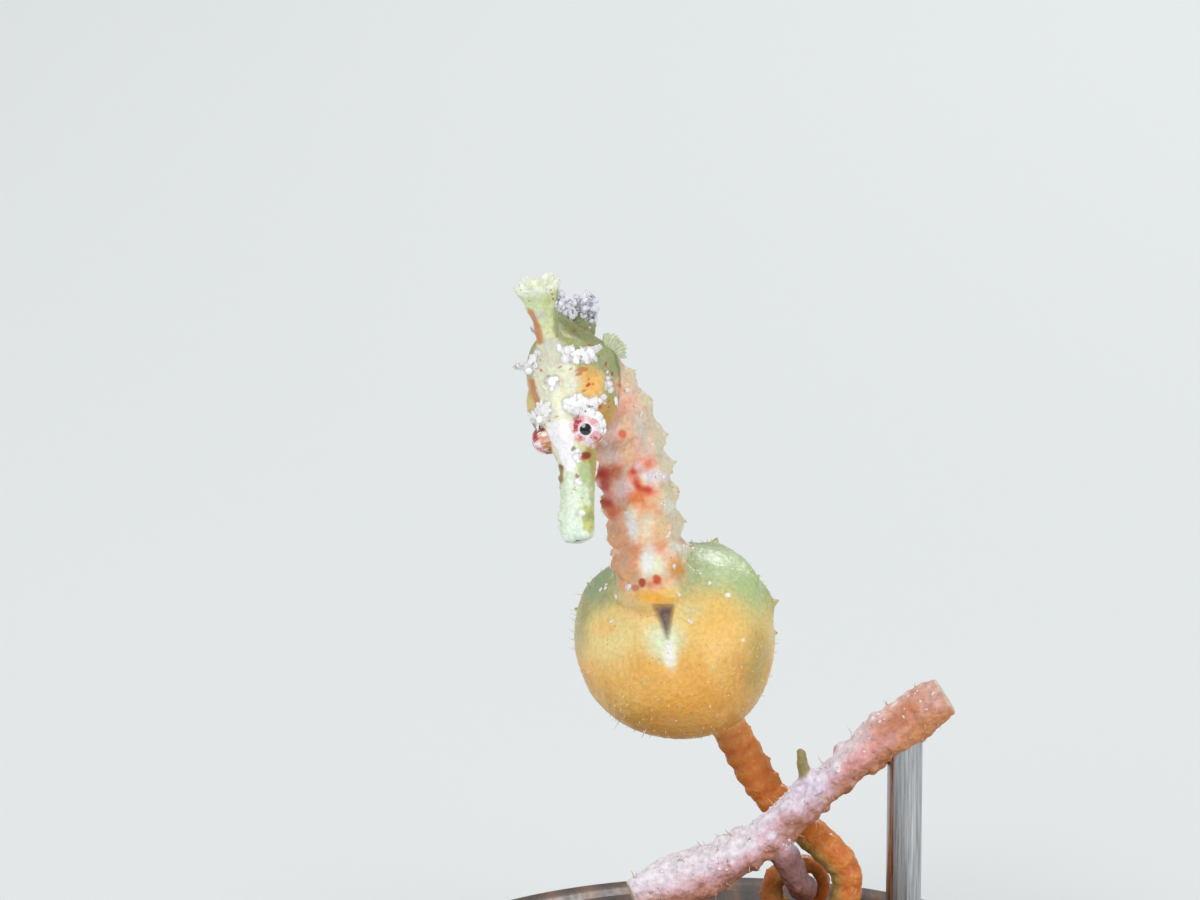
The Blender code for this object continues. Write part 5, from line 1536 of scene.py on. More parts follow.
def paint_lid(colours, at):
    """A white and pink lid with red streaks round the left eye."""
    eye, looks = eye_place(1)
    lid = 1 - step(np.linalg.norm(at.points - eye - looks * 0.05, axis=1), 0.26, 0.31)
    streak = cloud(at.points, 13.0, 160, 2)
    tone = blend(rgb(250, 232, 236), rgb(214, 120, 118), step(streak, 0.05, 0.30))
    colours[:] = blend(colours, tone, lid * step(at.flesh, 0.4, 0.6) * 0.8)


def paint_lines(colours, at):
    """Painted shade: the gill cover's dark rim, and dark colour in the pouch's slit, the mouth, the nostrils
    and the gill pores.
    """
    over = at.front * step(at.flesh + at.trunk, 0.4, 0.6) * 0.45
    # Painted shade: a dark green line along the gill cover's rim.
    for start, end in zip(GILL_RIM_SHADE, GILL_RIM_SHADE[1:]):
        for share in np.linspace(0, 1, 8, endpoint=False):
            middle = np.array(start) * (1 - share) + np.array(end) * share
            cover = oval(at.x, at.y, middle, (1.5, 1.5), 0, 0.5) * over
            colours += cover[:, None] * (rgb(88, 108, 58) - colours)
    # Painted shade in the pouch's slit.
    slit = inside(at.x + 3 * at.wave, at.y, SLIT_SHAPE, 9) * at.front * step(at.pouch + at.trunk, 0.4, 0.6)
    colours[:] = blend(colours, rgb(122, 98, 112), slit * 0.95)
    # Painted shade along the mouth's groove.
    mouth = mouth_line(at.local, 0.012, 0.04, -1.50)
    mouth = mouth * 0.8 * (np.abs(at.local[:, 0] - MOUTH_MIDDLE) < 0.18)
    colours[:] = blend(colours, rgb(116, 92, 74), mouth)
    # Painted shade in the nostrils and gill pores.
    for side in (1, -1):
        for place, radius, colour in HEAD_HOLES:
            blot(colours, at.points, in_head(mirrored(place, side)), radius, rgb(*colour), 0.9, 0.6)


def skin_colours(at):
    at.wave, at.fine = cloud(at.points, 2.2, 40, 3), cloud(at.points, 9.0, 41, 3)
    at.flesh = at.head + at.coronet
    at.x, at.y = in_photo(at.points)
    at.front = step(at.normals @ -VIEW, 0.0, 0.20)
    colours = np.zeros((len(at.points), 3))
    for share, tones in ((at.head, head_tones), (at.coronet, coronet_tones), (at.trunk, trunk_tones),
                         (at.pouch, pouch_tones), (at.tail, tail_tones)):
        colours += share[:, None] * tones(at)
    flaps = paint_flaps(colours, at)
    paint_gills(colours, at)
    paint_specks(colours, at)
    colours *= (1 + 0.05 * cloud(at.points, 24.0, 42, 2))[:, None]
    paint_photo(colours, at, flaps)
    paint_lid(colours, at)
    # The trunk is made a little warmer, and lighter as painted light that makes up for the head's shadow on
    # it, short of pure white.
    warmth_and_light = np.outer(at.trunk * (at.body_along > 1.2), TRUNK_WARMTH_AND_LIGHT)
    colours[:] = np.minimum(colours * (1 + warmth_and_light), LIGHTEST)
    paint_lines(colours, at)
    return colours


# Small pieces on the skin

def lump(finer):
    """Points and faces of a small sphere."""
    bm = bmesh.new()
    bmesh.ops.create_icosphere(bm, subdivisions=finer, radius=1.0)
    points = np.array([v.co[:] for v in bm.verts])
    faces = [[v.index for v in f.verts] for f in bm.faces]
    bm.free()
    return points, faces


LUMPS = {finer: lump(finer) for finer in (1, 2, 3)}
# Side of each of the map's four squares, and of a piece's patch in it, as shares of the map.
LAYOUT_SIDE, PATCH = 0.44, 0.003


def unwrap(point):
    """Where a root lies on a flat layout of the skin: a square each for head, pouch, trunk and tail."""
    def place_in(corner, first, second, along):
        turn = math.atan2(first, second) / (2 * math.pi) + 0.5
        return corner[0] + LAYOUT_SIDE * turn, corner[1] + LAYOUT_SIDE * along

    local = in_local(point[None])[0]
    if local[1] < 1.6 and abs(local[0]) < 0.9 and abs(local[2]) < 0.9:
        return place_in((0.02, 0.02), local[0], local[2], min(1, max(0, (local[1] + 1.7) / 3.5)))
    away = point - POUCH_CENTRE
    if np.linalg.norm(away) < POUCH_RADIUS + 0.35:
        axis, front, left = pouch_frame()
        along = 0.5 + 0.5 * max(-1, min(1, away @ axis / 1.6))
        return place_in((0.52, 0.02), away @ left, away @ front, along)
    along, score, middle = BODY.nearest(point[None])
    tail_along, tail_score, tail_middle = TAIL.nearest(point[None])
    if score[0] < tail_score[0]:
        away = point - middle[0]
        return place_in((0.02, 0.52), away[0], -away[1], along[0] / BODY.length)
    away = point - tail_middle[0]
    return place_in((0.52, 0.52), away[0], away[2], tail_along[0] / TAIL.length)


class Coat:
    """Many small pieces joined in one mesh, each with a patch of the coat's map at its root's place."""

    def __init__(self, name):
        self.name, self.count = name, 0
        self.points, self.faces, self.colours, self.maps = [], [], [], []

    def add(self, points, faces, colours, root, flat):
        """flat holds a place from 0 to 1 in the patch for each point."""
        u, v = unwrap(np.asarray(root))
        self.points.append(points)
        self.faces += [[i + self.count for i in f] for f in faces]
        self.colours.append(np.broadcast_to(colours, (len(points), 3)))
        self.maps.append(np.array((u, v)) + flat * PATCH)
        self.count += len(points)

    def grain(self, root, normal, size, colour, draw, tall=0.6, sink=0.25, finer=1, uneven=0.16):
        """One rounded grain of crust, with painted shade that darkens it towards its root; tall and sink are
        shares of its size.
        """
        ball, faces = LUMPS[finer]
        spin = draw.uniform(0, 2 * math.pi)
        c, s = math.cos(spin), math.sin(spin)
        turn = frame_of(normal) @ np.array(((c, -s, 0), (s, c, 0), (0, 0, 1)))
        shape = np.array((size * draw.uniform(0.8, 1.3), size * draw.uniform(0.7, 1.0), size * tall))
        rough = 1 + uneven * np.sin(ball @ np.array((5.1, 3.7, 4.3)) + draw.uniform(0, 6))
        local = ball * shape * rough[:, None] + np.array((0, 0, size * (tall - sink)))
        tone = np.asarray(colour) * (1 + 0.06 * draw.uniform(-1, 1))
        # Painted shade: each grain is darker towards its root and lighter at its top.
        colours = tone * (0.86 + 0.14 * (ball[:, 2:3] * 0.5 + 0.5))
        self.add(np.asarray(root) + local @ turn.T, faces, colours, root, ball[:, :2] * 0.5 + 0.5)

    def hair(self, root, way, length, radius, colour, bend, segments=5, sides=5):
        """One tapered filament that bends on its way out."""
        angles = circle(sides)
        turn = frame_of(way)
        points, flat, faces = [], [], []
        for k in range(segments + 1):
            share = k / segments
            middle = np.asarray(root) + unit(way) * length * share + np.asarray(bend) * share ** 2
            points.append(middle + disc(angles, radius * (1 - 0.75 * share)) @ turn.T)
            flat.append(np.stack([0.5 + 0.45 * np.cos(angles), np.full(sides, 0.05 + 0.9 * share)], 1))
        for k in range(segments):
            for i in range(sides):
                j = (i + 1) % sides
                faces.append([k * sides + i, k * sides + j, (k + 1) * sides + j, (k + 1) * sides + i])
        faces.append(list(range(sides))[::-1])
        faces.append([segments * sides + i for i in range(sides)])
        self.add(np.concatenate(points), faces, colour, root, np.concatenate(flat))

    def finish(self, material, slot):
        mesh = mesh_of(self.name, np.concatenate(self.points), self.faces)
        paint(mesh, "Skin", np.concatenate(self.colours))
        layer = mesh.uv_layers.new(name="OFBake")
        corners = np.empty(len(mesh.loops), dtype=np.int32)
        mesh.loops.foreach_get("vertex_index", corners)
        layer.data.foreach_set("uv", np.concatenate(self.maps)[corners].astype(np.float32).ravel())
        return place(new_object(self.name, mesh), material, slot=slot)


def floret(coat, root, normal, size, draw, tint=FLORET_WHITE):
    """A low rosette of grains, or one smoother grain where it is large."""
    large = size > 0.026
    coat.grain(root, normal, size, tint, draw, 0.42, 0.15, 2 if large else 1)
    if large:
        return
    turn = frame_of(normal)
    for k in range(draw.choice((3, 4, 5))):
        a = 1.3 * k + draw.uniform(-0.4, 0.4)
        out = turn[:, 0] * math.cos(a) + turn[:, 1] * math.sin(a)
        way = unit(normal + out * 0.3)
        coat.grain(root + out * size * 1.7, way, size * draw.uniform(0.6, 1.0), tint, draw, 0.38, 0.15)


def crusts(seen, coat):
    """White plates and fine grains, laid where the photo shows them and on the head's far side."""
    draw = random.Random(21)

    def lay_both(x, y, shift, add):
        """Adds a piece beside a pixel and, for a pixel on the face, opposite it as well."""
        root, normal = seen.at(x + shift[0], y + shift[1])
        add(root, normal)
        local = in_local(root[None])[0]
        other, way = seen.near(in_head((2 * HEAD_MIDDLE - local[0], local[1], local[2])))
        if FAR_CRUST_TOP < y < FAR_CRUST_BOTTOM and np.linalg.norm(other - root) > FAR_CRUST_APART:
            add(other, way)

    for x, y, radius in PLATES:
        size = radius / PIXELS * 1.05
        lay_both(x, y, (0, 0), lambda root, way: coat.grain(root, way, size, CRUST_WHITE, draw, *PLATE_FORM))
    for x, y, wide, high, florets, size in CRUSTS:
        for _ in range(florets):
            a, r = draw.uniform(0, 2 * math.pi), math.sqrt(draw.uniform(0.2, 1.1))
            lay_both(x, y, (math.cos(a) * r * wide, math.sin(a) * r * high),
                     lambda root, way: floret(coat, root, way, size * draw.uniform(0.75, 1.2), draw))


def cheek_crust(seen, coat, side, draw):
    """Grains on the tip of a cheek spine."""
    root, direction, length, _ = CHEEK_SPINE
    way = head_direction(mirrored(direction, side))
    tip = in_head(mirrored(root, side)) + way * length
    for _ in range(40):
        spread = some_way(draw)
        hit, normal = seen.near(tip - way * draw.uniform(-0.04, 0.20) + spread * 0.06)
        floret(coat, hit, normal, draw.uniform(0.012, 0.022), draw)


def wing_crust(seen, coat, side, draw):
    """Lilac and white grains on both faces of a nape flap."""
    flap = wing_frame(side)
    _, _, forward, through = flap
    for _ in range(110):
        share = draw.uniform(0.25, 1.05)
        wide = draw.uniform(-1, 1) * np.interp(share, (0, 0.5, 1.05), (0.20, 0.19, 0.07))
        middle = wing_middle(flap, share) + forward * wide
        hit, normal = seen.near(middle + through * draw.choice((-0.1, 0.1)))
        size = draw.uniform(0.010, 0.020) * (0.8 + 0.4 * share)
        floret(coat, hit, normal, size, draw, LILAC if draw.random() < 0.5 else rgb(244, 242, 250))


def fronds(seen, coat, draw):
    """Branched white fronds that stand behind the coronet."""
    start_x, start_y = FROND_START
    for x in FROND_PLACES:
        root, normal = seen.at(x, start_y + FROND_SLOPE * (x - start_x))
        way = unit(VIEW_UP + normal * 0.35 + np.array((draw.uniform(-0.35, 0.35), 0, 0)))
        length = draw.uniform(0.20, 0.30)
        coat.hair(root - way * 0.03, way, length, 0.018, rgb(196, 200, 190), (0, 0, 0))
        for _ in range(14):
            share = draw.uniform(0.10, 1.05)
            spread = some_way(draw)
            size = draw.uniform(0.026, 0.050)
            tuft = root + way * length * share + spread * size * 0.8
            coat.grain(tuft, spread, size, rgb(240, 240, 252), draw, 0.6, 0.3, 2, 0.2)


def rim_crust(seen, coat, draw):
    """Grains round the coronet's rim."""
    start, axis, right, back = coronet_frame()
    for _ in range(110):
        a = draw.uniform(0, 2 * math.pi)
        out = right * math.cos(a) + back * math.sin(a)
        hit, normal = seen.near(start + axis * (CORONET_HEIGHT + draw.uniform(-0.06, 0.08)) + out * 0.33)
        coat.grain(hit, normal, draw.uniform(0.008, 0.018), rgb(246, 250, 244), draw)


def spine_crusts(seen, coat):
    draw = random.Random(31)
    for side in (1, -1):
        cheek_crust(seen, coat, side, draw)
        wing_crust(seen, coat, side, draw)
    fronds(seen, coat, draw)
    rim_crust(seen, coat, draw)


def lid_scales(coat):
    """The flat, scalloped white scales round the upper edge of each eye, in two rows."""
    draw = random.Random(41)
    tint = rgb(250, 250, 255)
    for side in (1, -1):
        eye, looks = eye_place(side)
        up = across(head_direction((0, 1, 0.2)), looks)
        right = np.cross(up, looks)
        for angle, size in LID_PADS:
            a = math.radians(angle)
            out = up * math.sin(a) + right * side * math.cos(a)
            inner, outer = eye + looks * 0.110 + out * 0.205, eye + looks * 0.045 + out * 0.255
            coat.grain(inner, unit(out * 0.8 + looks), size, tint, draw, 0.26, 0.10, 3, 0.10)
            coat.grain(outer, unit(out + looks * 0.4), size * 0.95, tint, draw, 0.34, 0.14, 3, 0.12)


def trunk_grains(seen, coat):
    """Small pale crusts on the trunk's knobs and where the photo shows them."""
    draw = random.Random(51)

    def add(root, normal, low, high, tone):
        coat.grain(root, normal, draw.uniform(low, high), rgb(*tone), draw, 0.30, 0.10, 2, 0.2)

    for along, _, out, _ in trunk_knobs():
        for _ in range(4 if draw.random() < 0.5 else 2):
            shift = some_shift(draw) * 0.04
            add(*seen.near(BODY.read(along)[:3] + out * 1.30 + shift), 0.018, 0.034, (254, 246, 242))
    for x, y, wide, high in TRUNK_CRUSTS:
        for _ in range(6):
            a, r = draw.uniform(0, 2 * math.pi), math.sqrt(draw.random())
            root, normal = seen.at(x + math.cos(a) * r * wide, y + math.sin(a) * r * high)
            add(root, normal, 0.022, 0.040, (254, 248, 252))


def papillae(seen, coat):
    """Fine pale filaments and knobs on the pouch, most of them at its sides and back."""
    draw = random.Random(61)
    for _ in range(700):
        share = draw.uniform(-0.8, 0.92)
        angle = draw.uniform(0, 360)
        root, normal = seen.near(pouch_point(share, angle))
        if math.cos(math.radians(angle)) > 0.2 and draw.random() < 0.6:
            coat.grain(root, normal, draw.uniform(0.007, 0.014), rgb(250, 244, 218), draw)
            continue
        length = draw.uniform(0.02, 0.06) if draw.random() < 0.9 else draw.uniform(0.08, 0.14)
        drift = some_shift(draw) * length * 0.3
        radius = draw.uniform(0.007, 0.012)
        coat.hair(root - normal * 0.02, normal, length + 0.02, radius, rgb(236, 232, 204), drift)
    for x, y in FILAMENT_ROOTS:
        root, normal = seen.near(photo_point(x, y, FILAMENT_DEPTH))
        way = unit(normal + np.array((-0.6, 0, 0.2)))
        coat.hair(root - normal * 0.02, way, 0.17, 0.008, rgb(226, 234, 230), (0.02, -0.02, 0.05))


# Eyes

# Degrees round the iris, share of red and share of white.
IRIS = (
    (-30, 0.50, 0.10), (-14, 0.15, 0.55), (0, 0.0, 1.0), (14, 0.20, 0.45), (35, 0.45, 0.30),
    (60, 0.30, 0.45), (85, 0.25, 0.50), (110, 0.45, 0.20), (130, 0.90, 0.0), (165, 1.0, 0.0),
    (182, 0.55, 0.10), (196, 0.0, 1.0), (210, 0.40, 0.25), (232, 0.70, 0.05), (255, 0.35, 0.40),
    (275, 0.0, 0.95), (292, 0.30, 0.55), (312, 0.60, 0.05),
)
PUPIL, EYE_BACK = rgb(16, 12, 14), rgb(120, 80, 70)


def iris_colours(a, angles, side):
    """Black pupil, a white edge to it, then pink and red patches between white spokes."""
    table = np.array(IRIS)
    ring = np.stack([np.cos(angles), np.sin(angles), np.full(len(angles), a)], 1)
    rough = cloud(ring * np.array((1.0, 1.0, 1.6)), 3.4, 5, 3)
    streak = cloud(ring * np.array((6.0, 6.0, 0.8)), 2.0, 8, 2)
    turned = (np.degrees(angles) + 14 * rough + 30) % 360 - 30
    red_share, white_share = (np.interp(turned, table[:, 0], table[:, k], period=360) for k in (1, 2))
    white, pink, red = rgb(250, 240, 244), rgb(240, 178, 186), rgb(178, 48, 54)
    colours = blend(pink, white, step(white_share + 0.35 * streak, 0.35, 0.65))
    deep = step(red_share + 0.40 * rough + 0.30 * streak, 0.50, 0.80) * step(a, 0.50, 0.62)
    colours = blend(colours, red, deep)
    # Towards the socket: dark above, salmon beside, brown-orange below.
    height = np.sin(angles)
    band = np.where((height > 0.35)[:, None], rgb(120, 70, 60), rgb(226, 164, 134))
    band = np.where((height < -0.35)[:, None], rgb(196, 128, 76), band)
    band = np.where((np.abs(streak) > 0.42)[:, None], rgb(240, 226, 226), band)
    rim = step(a, 1.00, 1.20) if side == -1 else step(a, 1.18, 1.40)
    colours = colours * (1 - rim) + band * rim
    edge = 1 - step(abs(a - PUPIL_RIM), 0.02, 0.07)
    colours = colours * (1 - edge) + white * edge
    within = 1 - step(a, 0.37, 0.40)
    return colours * (1 - within) + PUPIL * within


def make_eyes(material):
    """Eyeballs whose clear front bulges a little over the pupil, with a fluted iris."""
    angles = circle(EYE_SIDES)
    for side, name in ((1, "left"), (-1, "right")):
        socket, opens = eye_place(side)
        looks = head_direction(IRIS_LOOKS[side])
        up = across(head_direction((0, 1, 0.2)), looks)
        turn = np.stack([np.cross(up, looks) * side, up, looks], 1)
        grid, tones = [], []
        for r in range(1, EYE_ROWS):
            a = math.pi * r / EYE_ROWS
            bulge = CORNEA_BULGE * (a < CORNEA_EDGE) * (1 - math.sin(a) / math.sin(CORNEA_EDGE)) ** 2
            fluted = FLUTES_FROM < a < FLUTES_TO
            flute = 1 + (FLUTE_DEPTH * np.sin(angles * FLUTES) if fluted else 0 * angles)
            local = disc(angles, math.sin(a), math.cos(a)) * (EYE_RADIUS * (1 + bulge) * flute)[:, None]
            grid.append(socket + opens * EYE_OUT + local @ turn.T)
            tones.append(iris_colours(a, angles, side))
        forms = Surfaces()
        forms.rings(grid)
        mesh = forms.mesh("eyeball_" + name)
        paint(mesh, "Skin", np.concatenate(tones + [np.array([PUPIL, EYE_BACK])]))
        fix_normals(mesh)
        place(new_object("eyeball_" + name, mesh), material, "eye_" + name, slot="eye")


def fix_normals(mesh):
    bm = bmesh.new()
    bm.from_mesh(mesh)
    bmesh.ops.recalc_face_normals(bm, faces=bm.faces)
    bm.to_mesh(mesh)
    bm.free()


# Fins

def fin(name, node, root, reach, face, rays, thick, material, ray_tone, web_tone):
    """A thin membrane between a root line and an edge, with rays standing up on both faces."""
    wide_steps, long_steps = 8, 30
    columns = rays * wide_steps + 1
    front, back, tones = [], [], []
    for k in range(long_steps + 1):
        out = k / long_steps
        for share in np.linspace(0, 1, columns):
            ray = 0.5 - 0.5 * math.cos(2 * math.pi * share * rays)
            edge = out * (1 - FIN_NOTCH * (1 - ray) * out ** 3)
            point = root(share) * (1 - edge) + reach(share) * edge
            point = point + face * FIN_RIPPLE * math.sin(share * 17 + out * 3) * out
            half = thick * (1 - 0.7 * out) / 2 + FIN_RAY_HEIGHT * ray ** 3 * (1 - 0.6 * out)
            half = half * (1 if k < long_steps else 0.3)
            front.append(point + face * half)
            back.append(point - face * half)
            pale = ray_tone * ray ** 2 + web_tone * (1 - ray ** 2)
            band = 0.5 + 0.5 * math.sin(out * 19 + 2 * math.sin(share * 9))
            tones.append(pale * (1 - 0.18 * band * out))
    size = columns * (long_steps + 1)
    faces = []
    for k in range(long_steps):
        for i in range(columns - 1):
            a = k * columns + i
            faces.append((a, a + 1, a + columns + 1, a + columns))
            faces.append((a + size, a + size + columns, a + size + columns + 1, a + size + 1))
    for i in range(columns - 1):
        end = long_steps * columns + i
        faces.append((i, i + size, i + 1 + size, i + 1))
        faces.append((end, end + 1, end + 1 + size, end + size))
    for k in range(long_steps):
        a, b = k * columns, k * columns + columns - 1
        faces.append((a, a + columns, a + columns + size, a + size))
        faces.append((b, b + size, b + columns + size, b + columns))
    mesh = mesh_of(name, np.array(front + back), faces)
    paint(mesh, "Skin", np.array(tones + tones))
    fix_normals(mesh)
    return place(new_object(name, mesh), material, node, slot="fin")


def make_pectorals(material):
    for side, name in ((1, "left"), (-1, "right")):
        out, forward = trunk_out(PECTORAL_AT, 180 - side * (180 - PECTORAL_ANGLE))
        base, out, up = BODY.read(PECTORAL_AT)[:3] + out * 0.78, unit(out), -forward
        lean = unit(across(np.array((0.0, 1.0, 0.0)), out) * 0.8 + out * 0.6)

        def root(share):
            return base + up * (0.5 - share) * PECTORAL_ROOT

        def reach(share):
            swing = (0.5 - share) * PECTORAL_SPREAD
            long = PECTORAL_LENGTH * (1 - 0.25 * abs(2 * share - 1) ** 2)
            return root(share) + (lean * math.cos(swing) + up * math.sin(swing)) * long

        fin("pectoral_membrane_" + name, "fin_pectoral_" + name, root, reach, unit(np.cross(lean, up)),
            PECTORAL_RAYS, PECTORAL_THICK, material, rgb(240, 246, 216), rgb(212, 224, 172))


def make_dorsal(material):
    axis, _, left = pouch_frame()

    def skin_point(share):
        return pouch_point(DORSAL_FROM + (DORSAL_TO - DORSAL_FROM) * share, 180)

    def outward(share):
        return unit(skin_point(share) - POUCH_CENTRE)

    def root(share):
        return skin_point(share) - outward(share) * DORSAL_SUNK

    def reach(share):
        long = DORSAL_SUNK + DORSAL_HEIGHT * (0.75 + 0.25 * math.sin(math.pi * share))
        return root(share) + unit(outward(share) * 0.9 + axis * 0.25) * long

    fin("dorsal_membrane", "fin_dorsal", root, reach, left, DORSAL_RAYS, DORSAL_THICK, material,
        rgb(240, 228, 200), rgb(220, 196, 148))


# Perch and stand

def stem_rings(points, phase):
    route = Route(points)
    a = circle(56)
    rings = []
    for s in np.linspace(0, route.length, max(20, int(route.length / 0.05))):
        values = route.read(s)
        forward = route.tangent(s)
        side = across(UP, forward)
        out = np.cos(a)[:, None] * side + np.sin(a)[:, None] * np.cross(forward, side)
        uneven = 1 + 0.07 * np.sin(2 * a + 3.1 * s + phase) + 0.05 * np.sin(3 * a - 5.3 * s)
        rings.append(values[:3] + out * (values[3] * uneven)[:, None])
    return rings, route


def stem_side(stem, draw, end):
    """A place at random along the stem's middle line, its row of values, and a way out of it."""
    s = draw.uniform(end, stem.length - end)
    values, forward = stem.read(s), stem.tangent(s)
    return values, unit(np.cross(forward, some_way(draw)))


def perch_mesh():
    """The stem with its side twig and bract, lumpy with growth but cut flat at both ends."""
    forms = Surfaces()
    routes = []
    for points, phase in ((STEM_ROUTE, 0.0), (TWIG_ROUTE, 1.0), (BRACT_ROUTE, 2.0)):
        rings, route = stem_rings(points, phase)
        forms.rings(rings)
        routes.append(route)
    stem = routes[0]
    draw = random.Random(71)
    for _ in range(90):
        values, way = stem_side(stem, draw, 0.15)
        size = draw.uniform(0.05, 0.13)
        forms.ball(values[:3] + way * values[3] * 0.90, (size, size * 1.5, size * 0.8), frame_of(way), 14, 9)
    mesh = remeshed("perch", forms.mesh("perch_forms"), PERCH_VOXEL)
    points = relaxed(mesh, points_of(mesh), 3)
    set_points(mesh, points)
    normals = normals_of(mesh)
    near, far, _ = cells(points, 5.0, 90)
    lift = cloud(points, 2.2, 91, 5) * 0.060 + (step(far - near, 0, 0.08) - 0.5) * 0.016
    ends = []
    for s in (0.0, stem.length):
        away = points - stem.read(s)[:3]
        beside = np.linalg.norm(away, axis=1) > 0.6
        ends.append(np.abs(away @ stem.tangent(s)) + 9 * beside)
    ends = np.minimum(*ends)
    lift *= step(ends, 0.02, 0.12)
    points = points + normals * lift[:, None]
    set_points(mesh, points)
    return mesh, points, normals, ends, routes


def perch_tones(points, normals, ends, routes):
    """White and lilac on top, pink at the sides, orange-brown underneath and towards the far end; the
    darkening towards the underside is partly the stem's brown and partly painted shade.
    """
    stem, twig, bract = routes
    along, stem_score, _ = stem.nearest(points)
    share = along / stem.length
    wave, fine = cloud(points, 1.8, 92, 4), cloud(points, 6.0, 93, 4)
    facing_up_for_shade = normals @ VIEW_UP + 0.35 * wave
    tone = np.tile(rgb(236, 226, 240), (len(points), 1))

    def over(colour, amount):
        tone[:] = blend(tone, rgb(*colour), amount)

    # Partly painted shade: pink, orange-brown and darker brown as the surface turns down, white only where
    # it faces up; the stem under its crust is brown too.
    over((226, 178, 190), step(-facing_up_for_shade, -0.55, 0.05) * 0.9)
    over((206, 136, 92), step(-facing_up_for_shade, -0.10, 0.55) * (0.65 + 0.3 * step(share, 0.3, 0.7)))
    over((170, 104, 66), step(-facing_up_for_shade, 0.35, 1.0) * 0.7)
    over((218, 150, 100), step(share + 0.15 * wave, 0.62, 0.86) * 0.60)
    over((176, 96, 70), step(fine, 0.22, 0.50) * 0.45)
    over((250, 246, 252), step(-fine, 0.20, 0.50) * step(facing_up_for_shade, 0.0, 0.5) * 0.8)
    px, py = in_photo(points)
    for mx, my, wide, high, tilt, colour in PERCH_WASHES:
        over(colour, oval(px + 4 * wave, py + 5 * fine, (mx, my), (wide, high), tilt, 0.7) * 0.75)
    # Brown twig, green bract and pale cut ends.
    twig_along, twig_score, _ = twig.nearest(points)
    _, bract_score, _ = bract.nearest(points)
    on_twig, on_bract = (1 - step(score, 1.1, 1.3) for score in (twig_score, bract_score))
    over((112, 66, 60), on_twig * step(twig_along, 0.15, 0.5) * (0.85 + 0.2 * wave))
    over((156, 104, 84), on_twig * step(fine, 0.2, 0.5) * 0.5)
    over((160, 146, 100), on_bract * step(stem_score, 1.1, 1.3))
    over((214, 200, 178), (1 - step(ends, 0.01, 0.03)) * 0.85)
    return tone


def perch_growth(coat, seen, stem):
    """Low beads and a few filaments of growth on the stem."""
    draw = random.Random(81)
    for _ in range(260):
        values, way = stem_side(stem, draw, 0.1)
        root, normal = seen.near(values[:3] + way * values[3] * 1.1)
        if draw.random() < 0.75:
            # Partly painted shade: beads that face up are white, the rest tan.
            tint = rgb(246, 240, 248) if normal[2] > 0.1 else rgb(214, 160, 130)
            coat.grain(root, normal, draw.uniform(0.012, 0.034), tint, draw, 0.45, 0.25)
        else:
            drift = some_shift(draw) * 0.05
            length, radius = draw.uniform(0.06, 0.16), draw.uniform(0.008, 0.014)
            coat.hair(root - normal * 0.02, normal, length, radius, rgb(206, 178, 150), drift)


def make_perch(bark, growth):
    mesh, points, normals, ends, routes = perch_mesh()
    paint(mesh, "Skin", perch_tones(points, normals, ends, routes))
    place(new_object("perch_branch", mesh), bark, "perch_stem", slot="stem")
    bare = mesh.copy()
    bare.transform(Matrix.Scale(1 / MM, 4))
    coat = Coat("perch_growth")
    perch_growth(coat, Seen(bare), routes[0])
    bpy.data.meshes.remove(bare)
    coat.finish(growth, "stem")


def lathe(name, profile, around):
    """A turned piece about the Z axis, from points of radius and height."""
    forms = Surfaces()
    forms.rings([disc(circle(around), radius, height) for radius, height in profile])
    mesh = forms.mesh(name)
    fix_normals(mesh)
    return mesh


def sharpen(thing):
    thing.data.set_sharp_from_angle(angle=SHARP_ANGLE)


def base_profile():
    """Flat foot, a straight side with a shallow bead, a round upper edge and a shallow ring on top."""
    edge, side, top = BASE_EDGE, BASE_RADIUS, BASE_HEIGHT
    profile = [(side - 0.30, 0.0), (side - 0.06, 0.0), (side, 0.06), (side, top - edge - 0.22),
               (side - 0.05, top - edge - 0.18), (side - 0.05, top - edge - 0.12), (side, top - edge - 0.08)]
    for k in range(9):
        a = math.radians(90 * k / 8)
        profile.append((side - edge + edge * math.cos(a), top - edge + edge * math.sin(a)))
    ring = [(side - 0.6, top), (side - 0.66, top - 0.04), (side - 0.74, top - 0.04), (side - 0.80, top)]
    return profile + ring + [(2.0, top)]


def make_stand(wood, steel):
    mesh = lathe("base", base_profile(), BASE_SIDES)
    sharpen(place(new_object("base_turned", mesh), wood, "stand_base", slot="wood"))
    for node, (x, y) in ROD_PLACES.items():
        low, high = (corner[2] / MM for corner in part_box(node))
        rod = [(ROD_RADIUS - 0.03, low), (ROD_RADIUS, low + 0.03), (ROD_RADIUS, high - 0.05),
               (ROD_RADIUS - 0.05, high)]
        collar = [(ROD_RADIUS + out, BASE_HEIGHT + up) for out, up in COLLAR_PROFILE]
        for name, profile, replaced in ((node.replace("stand_", "turned_"), rod, (node,)),
                                        (node.replace("stand_rod", "collar"), collar, ())):
            mesh = lathe(name, profile, ROD_SIDES)
            mesh.transform(Matrix.Translation((x, y, 0)))
            sharpen(place(new_object(name, mesh), steel, *replaced, slot="steel"))


# Studio

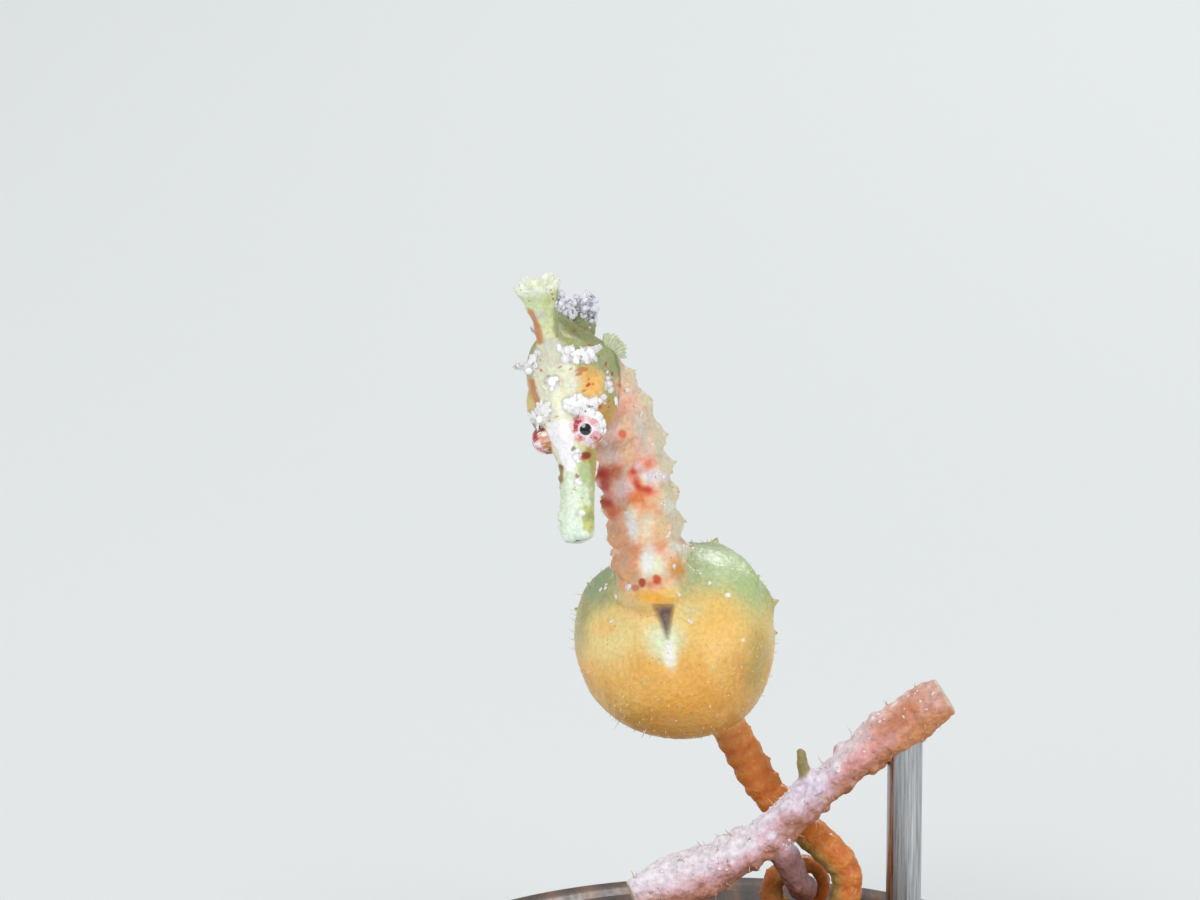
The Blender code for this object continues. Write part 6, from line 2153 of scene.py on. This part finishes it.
def make_floor():
    rings = [disc(circle(FLOOR_SIDES), radius, height) for radius, height in FLOOR_RINGS]
    n = FLOOR_SIDES
    faces = [(r * n + i, r * n + (i + 1) % n, (r + 1) * n + (i + 1) % n, (r + 1) * n + i)
             for r in range(len(rings) - 1) for i in range(n)]
    faces.append(tuple(range(n))[::-1])
    mesh = mesh_of("studio_floor", np.concatenate(rings) * MM, faces)
    mesh.shade_smooth()
    mesh.materials.append(floor_material())
    new_object("studio_floor", mesh)


def make_lights():
    world = bpy.data.worlds.new("studio")
    world.use_nodes = True
    air = world.node_tree.nodes["Background"]
    air.inputs["Color"].default_value = (*rgb(*AIR_COLOUR), 1)
    air.inputs["Strength"].default_value = AIR_STRENGTH
    bpy.context.scene.world = world
    target = LAMP_TARGET * MM
    for name, way, away, size, power, colour in LAMPS:
        data = bpy.data.lights.new(name, "AREA")
        data.shape = "DISK"
        data.size = size * MM
        data.energy = power
        data.color = colour
        lamp = new_object(name, data)
        lamp.location = target + Vector(way).normalized() * away * MM
        lamp.rotation_euler = (target - lamp.location).to_track_quat("-Z", "Y").to_euler()


def make_camera():
    """The photo's own view and frame."""
    data = bpy.data.cameras.new("camera")
    data.sensor_width = SENSOR
    data.lens = SENSOR * DISTANCE / (PHOTO_SIZE[0] / PIXELS)
    data.clip_start, data.clip_end = 0.001, 10.0
    camera = new_object("camera", data)
    camera.location = Vector(FOCUS - VIEW * DISTANCE) * MM
    camera.rotation_euler = Vector(VIEW).to_track_quat("-Z", "Y").to_euler()
    bpy.context.scene.camera = camera
    bpy.context.scene.view_settings.view_transform = "Standard"


def make_animal(crust):
    mesh, at = make_skin()
    seen = Seen(mesh)
    paint(mesh, "Skin", skin_colours(at))
    place(new_object("skin", mesh), skin_material(), *FLESH_NODES, slot="trunk")
    coat = Coat("crust")
    crusts(seen, coat)
    spine_crusts(seen, coat)
    lid_scales(coat)
    trunk_grains(seen, coat)
    coat.finish(crust, "fin")
    coat = Coat("papillae")
    papillae(seen, coat)
    coat.finish(crust, "pouch")
    make_eyes(eye_material())
    make_pectorals(fin_material("side_fin", 0.70))
    make_dorsal(fin_material("dorsal_fin", 0.62))


def main():
    crust = crust_material()
    make_animal(crust)
    make_perch(perch_material(), crust)
    make_stand(wood_material(), steel_material())
    make_floor()
    make_lights()
    make_camera()


main()
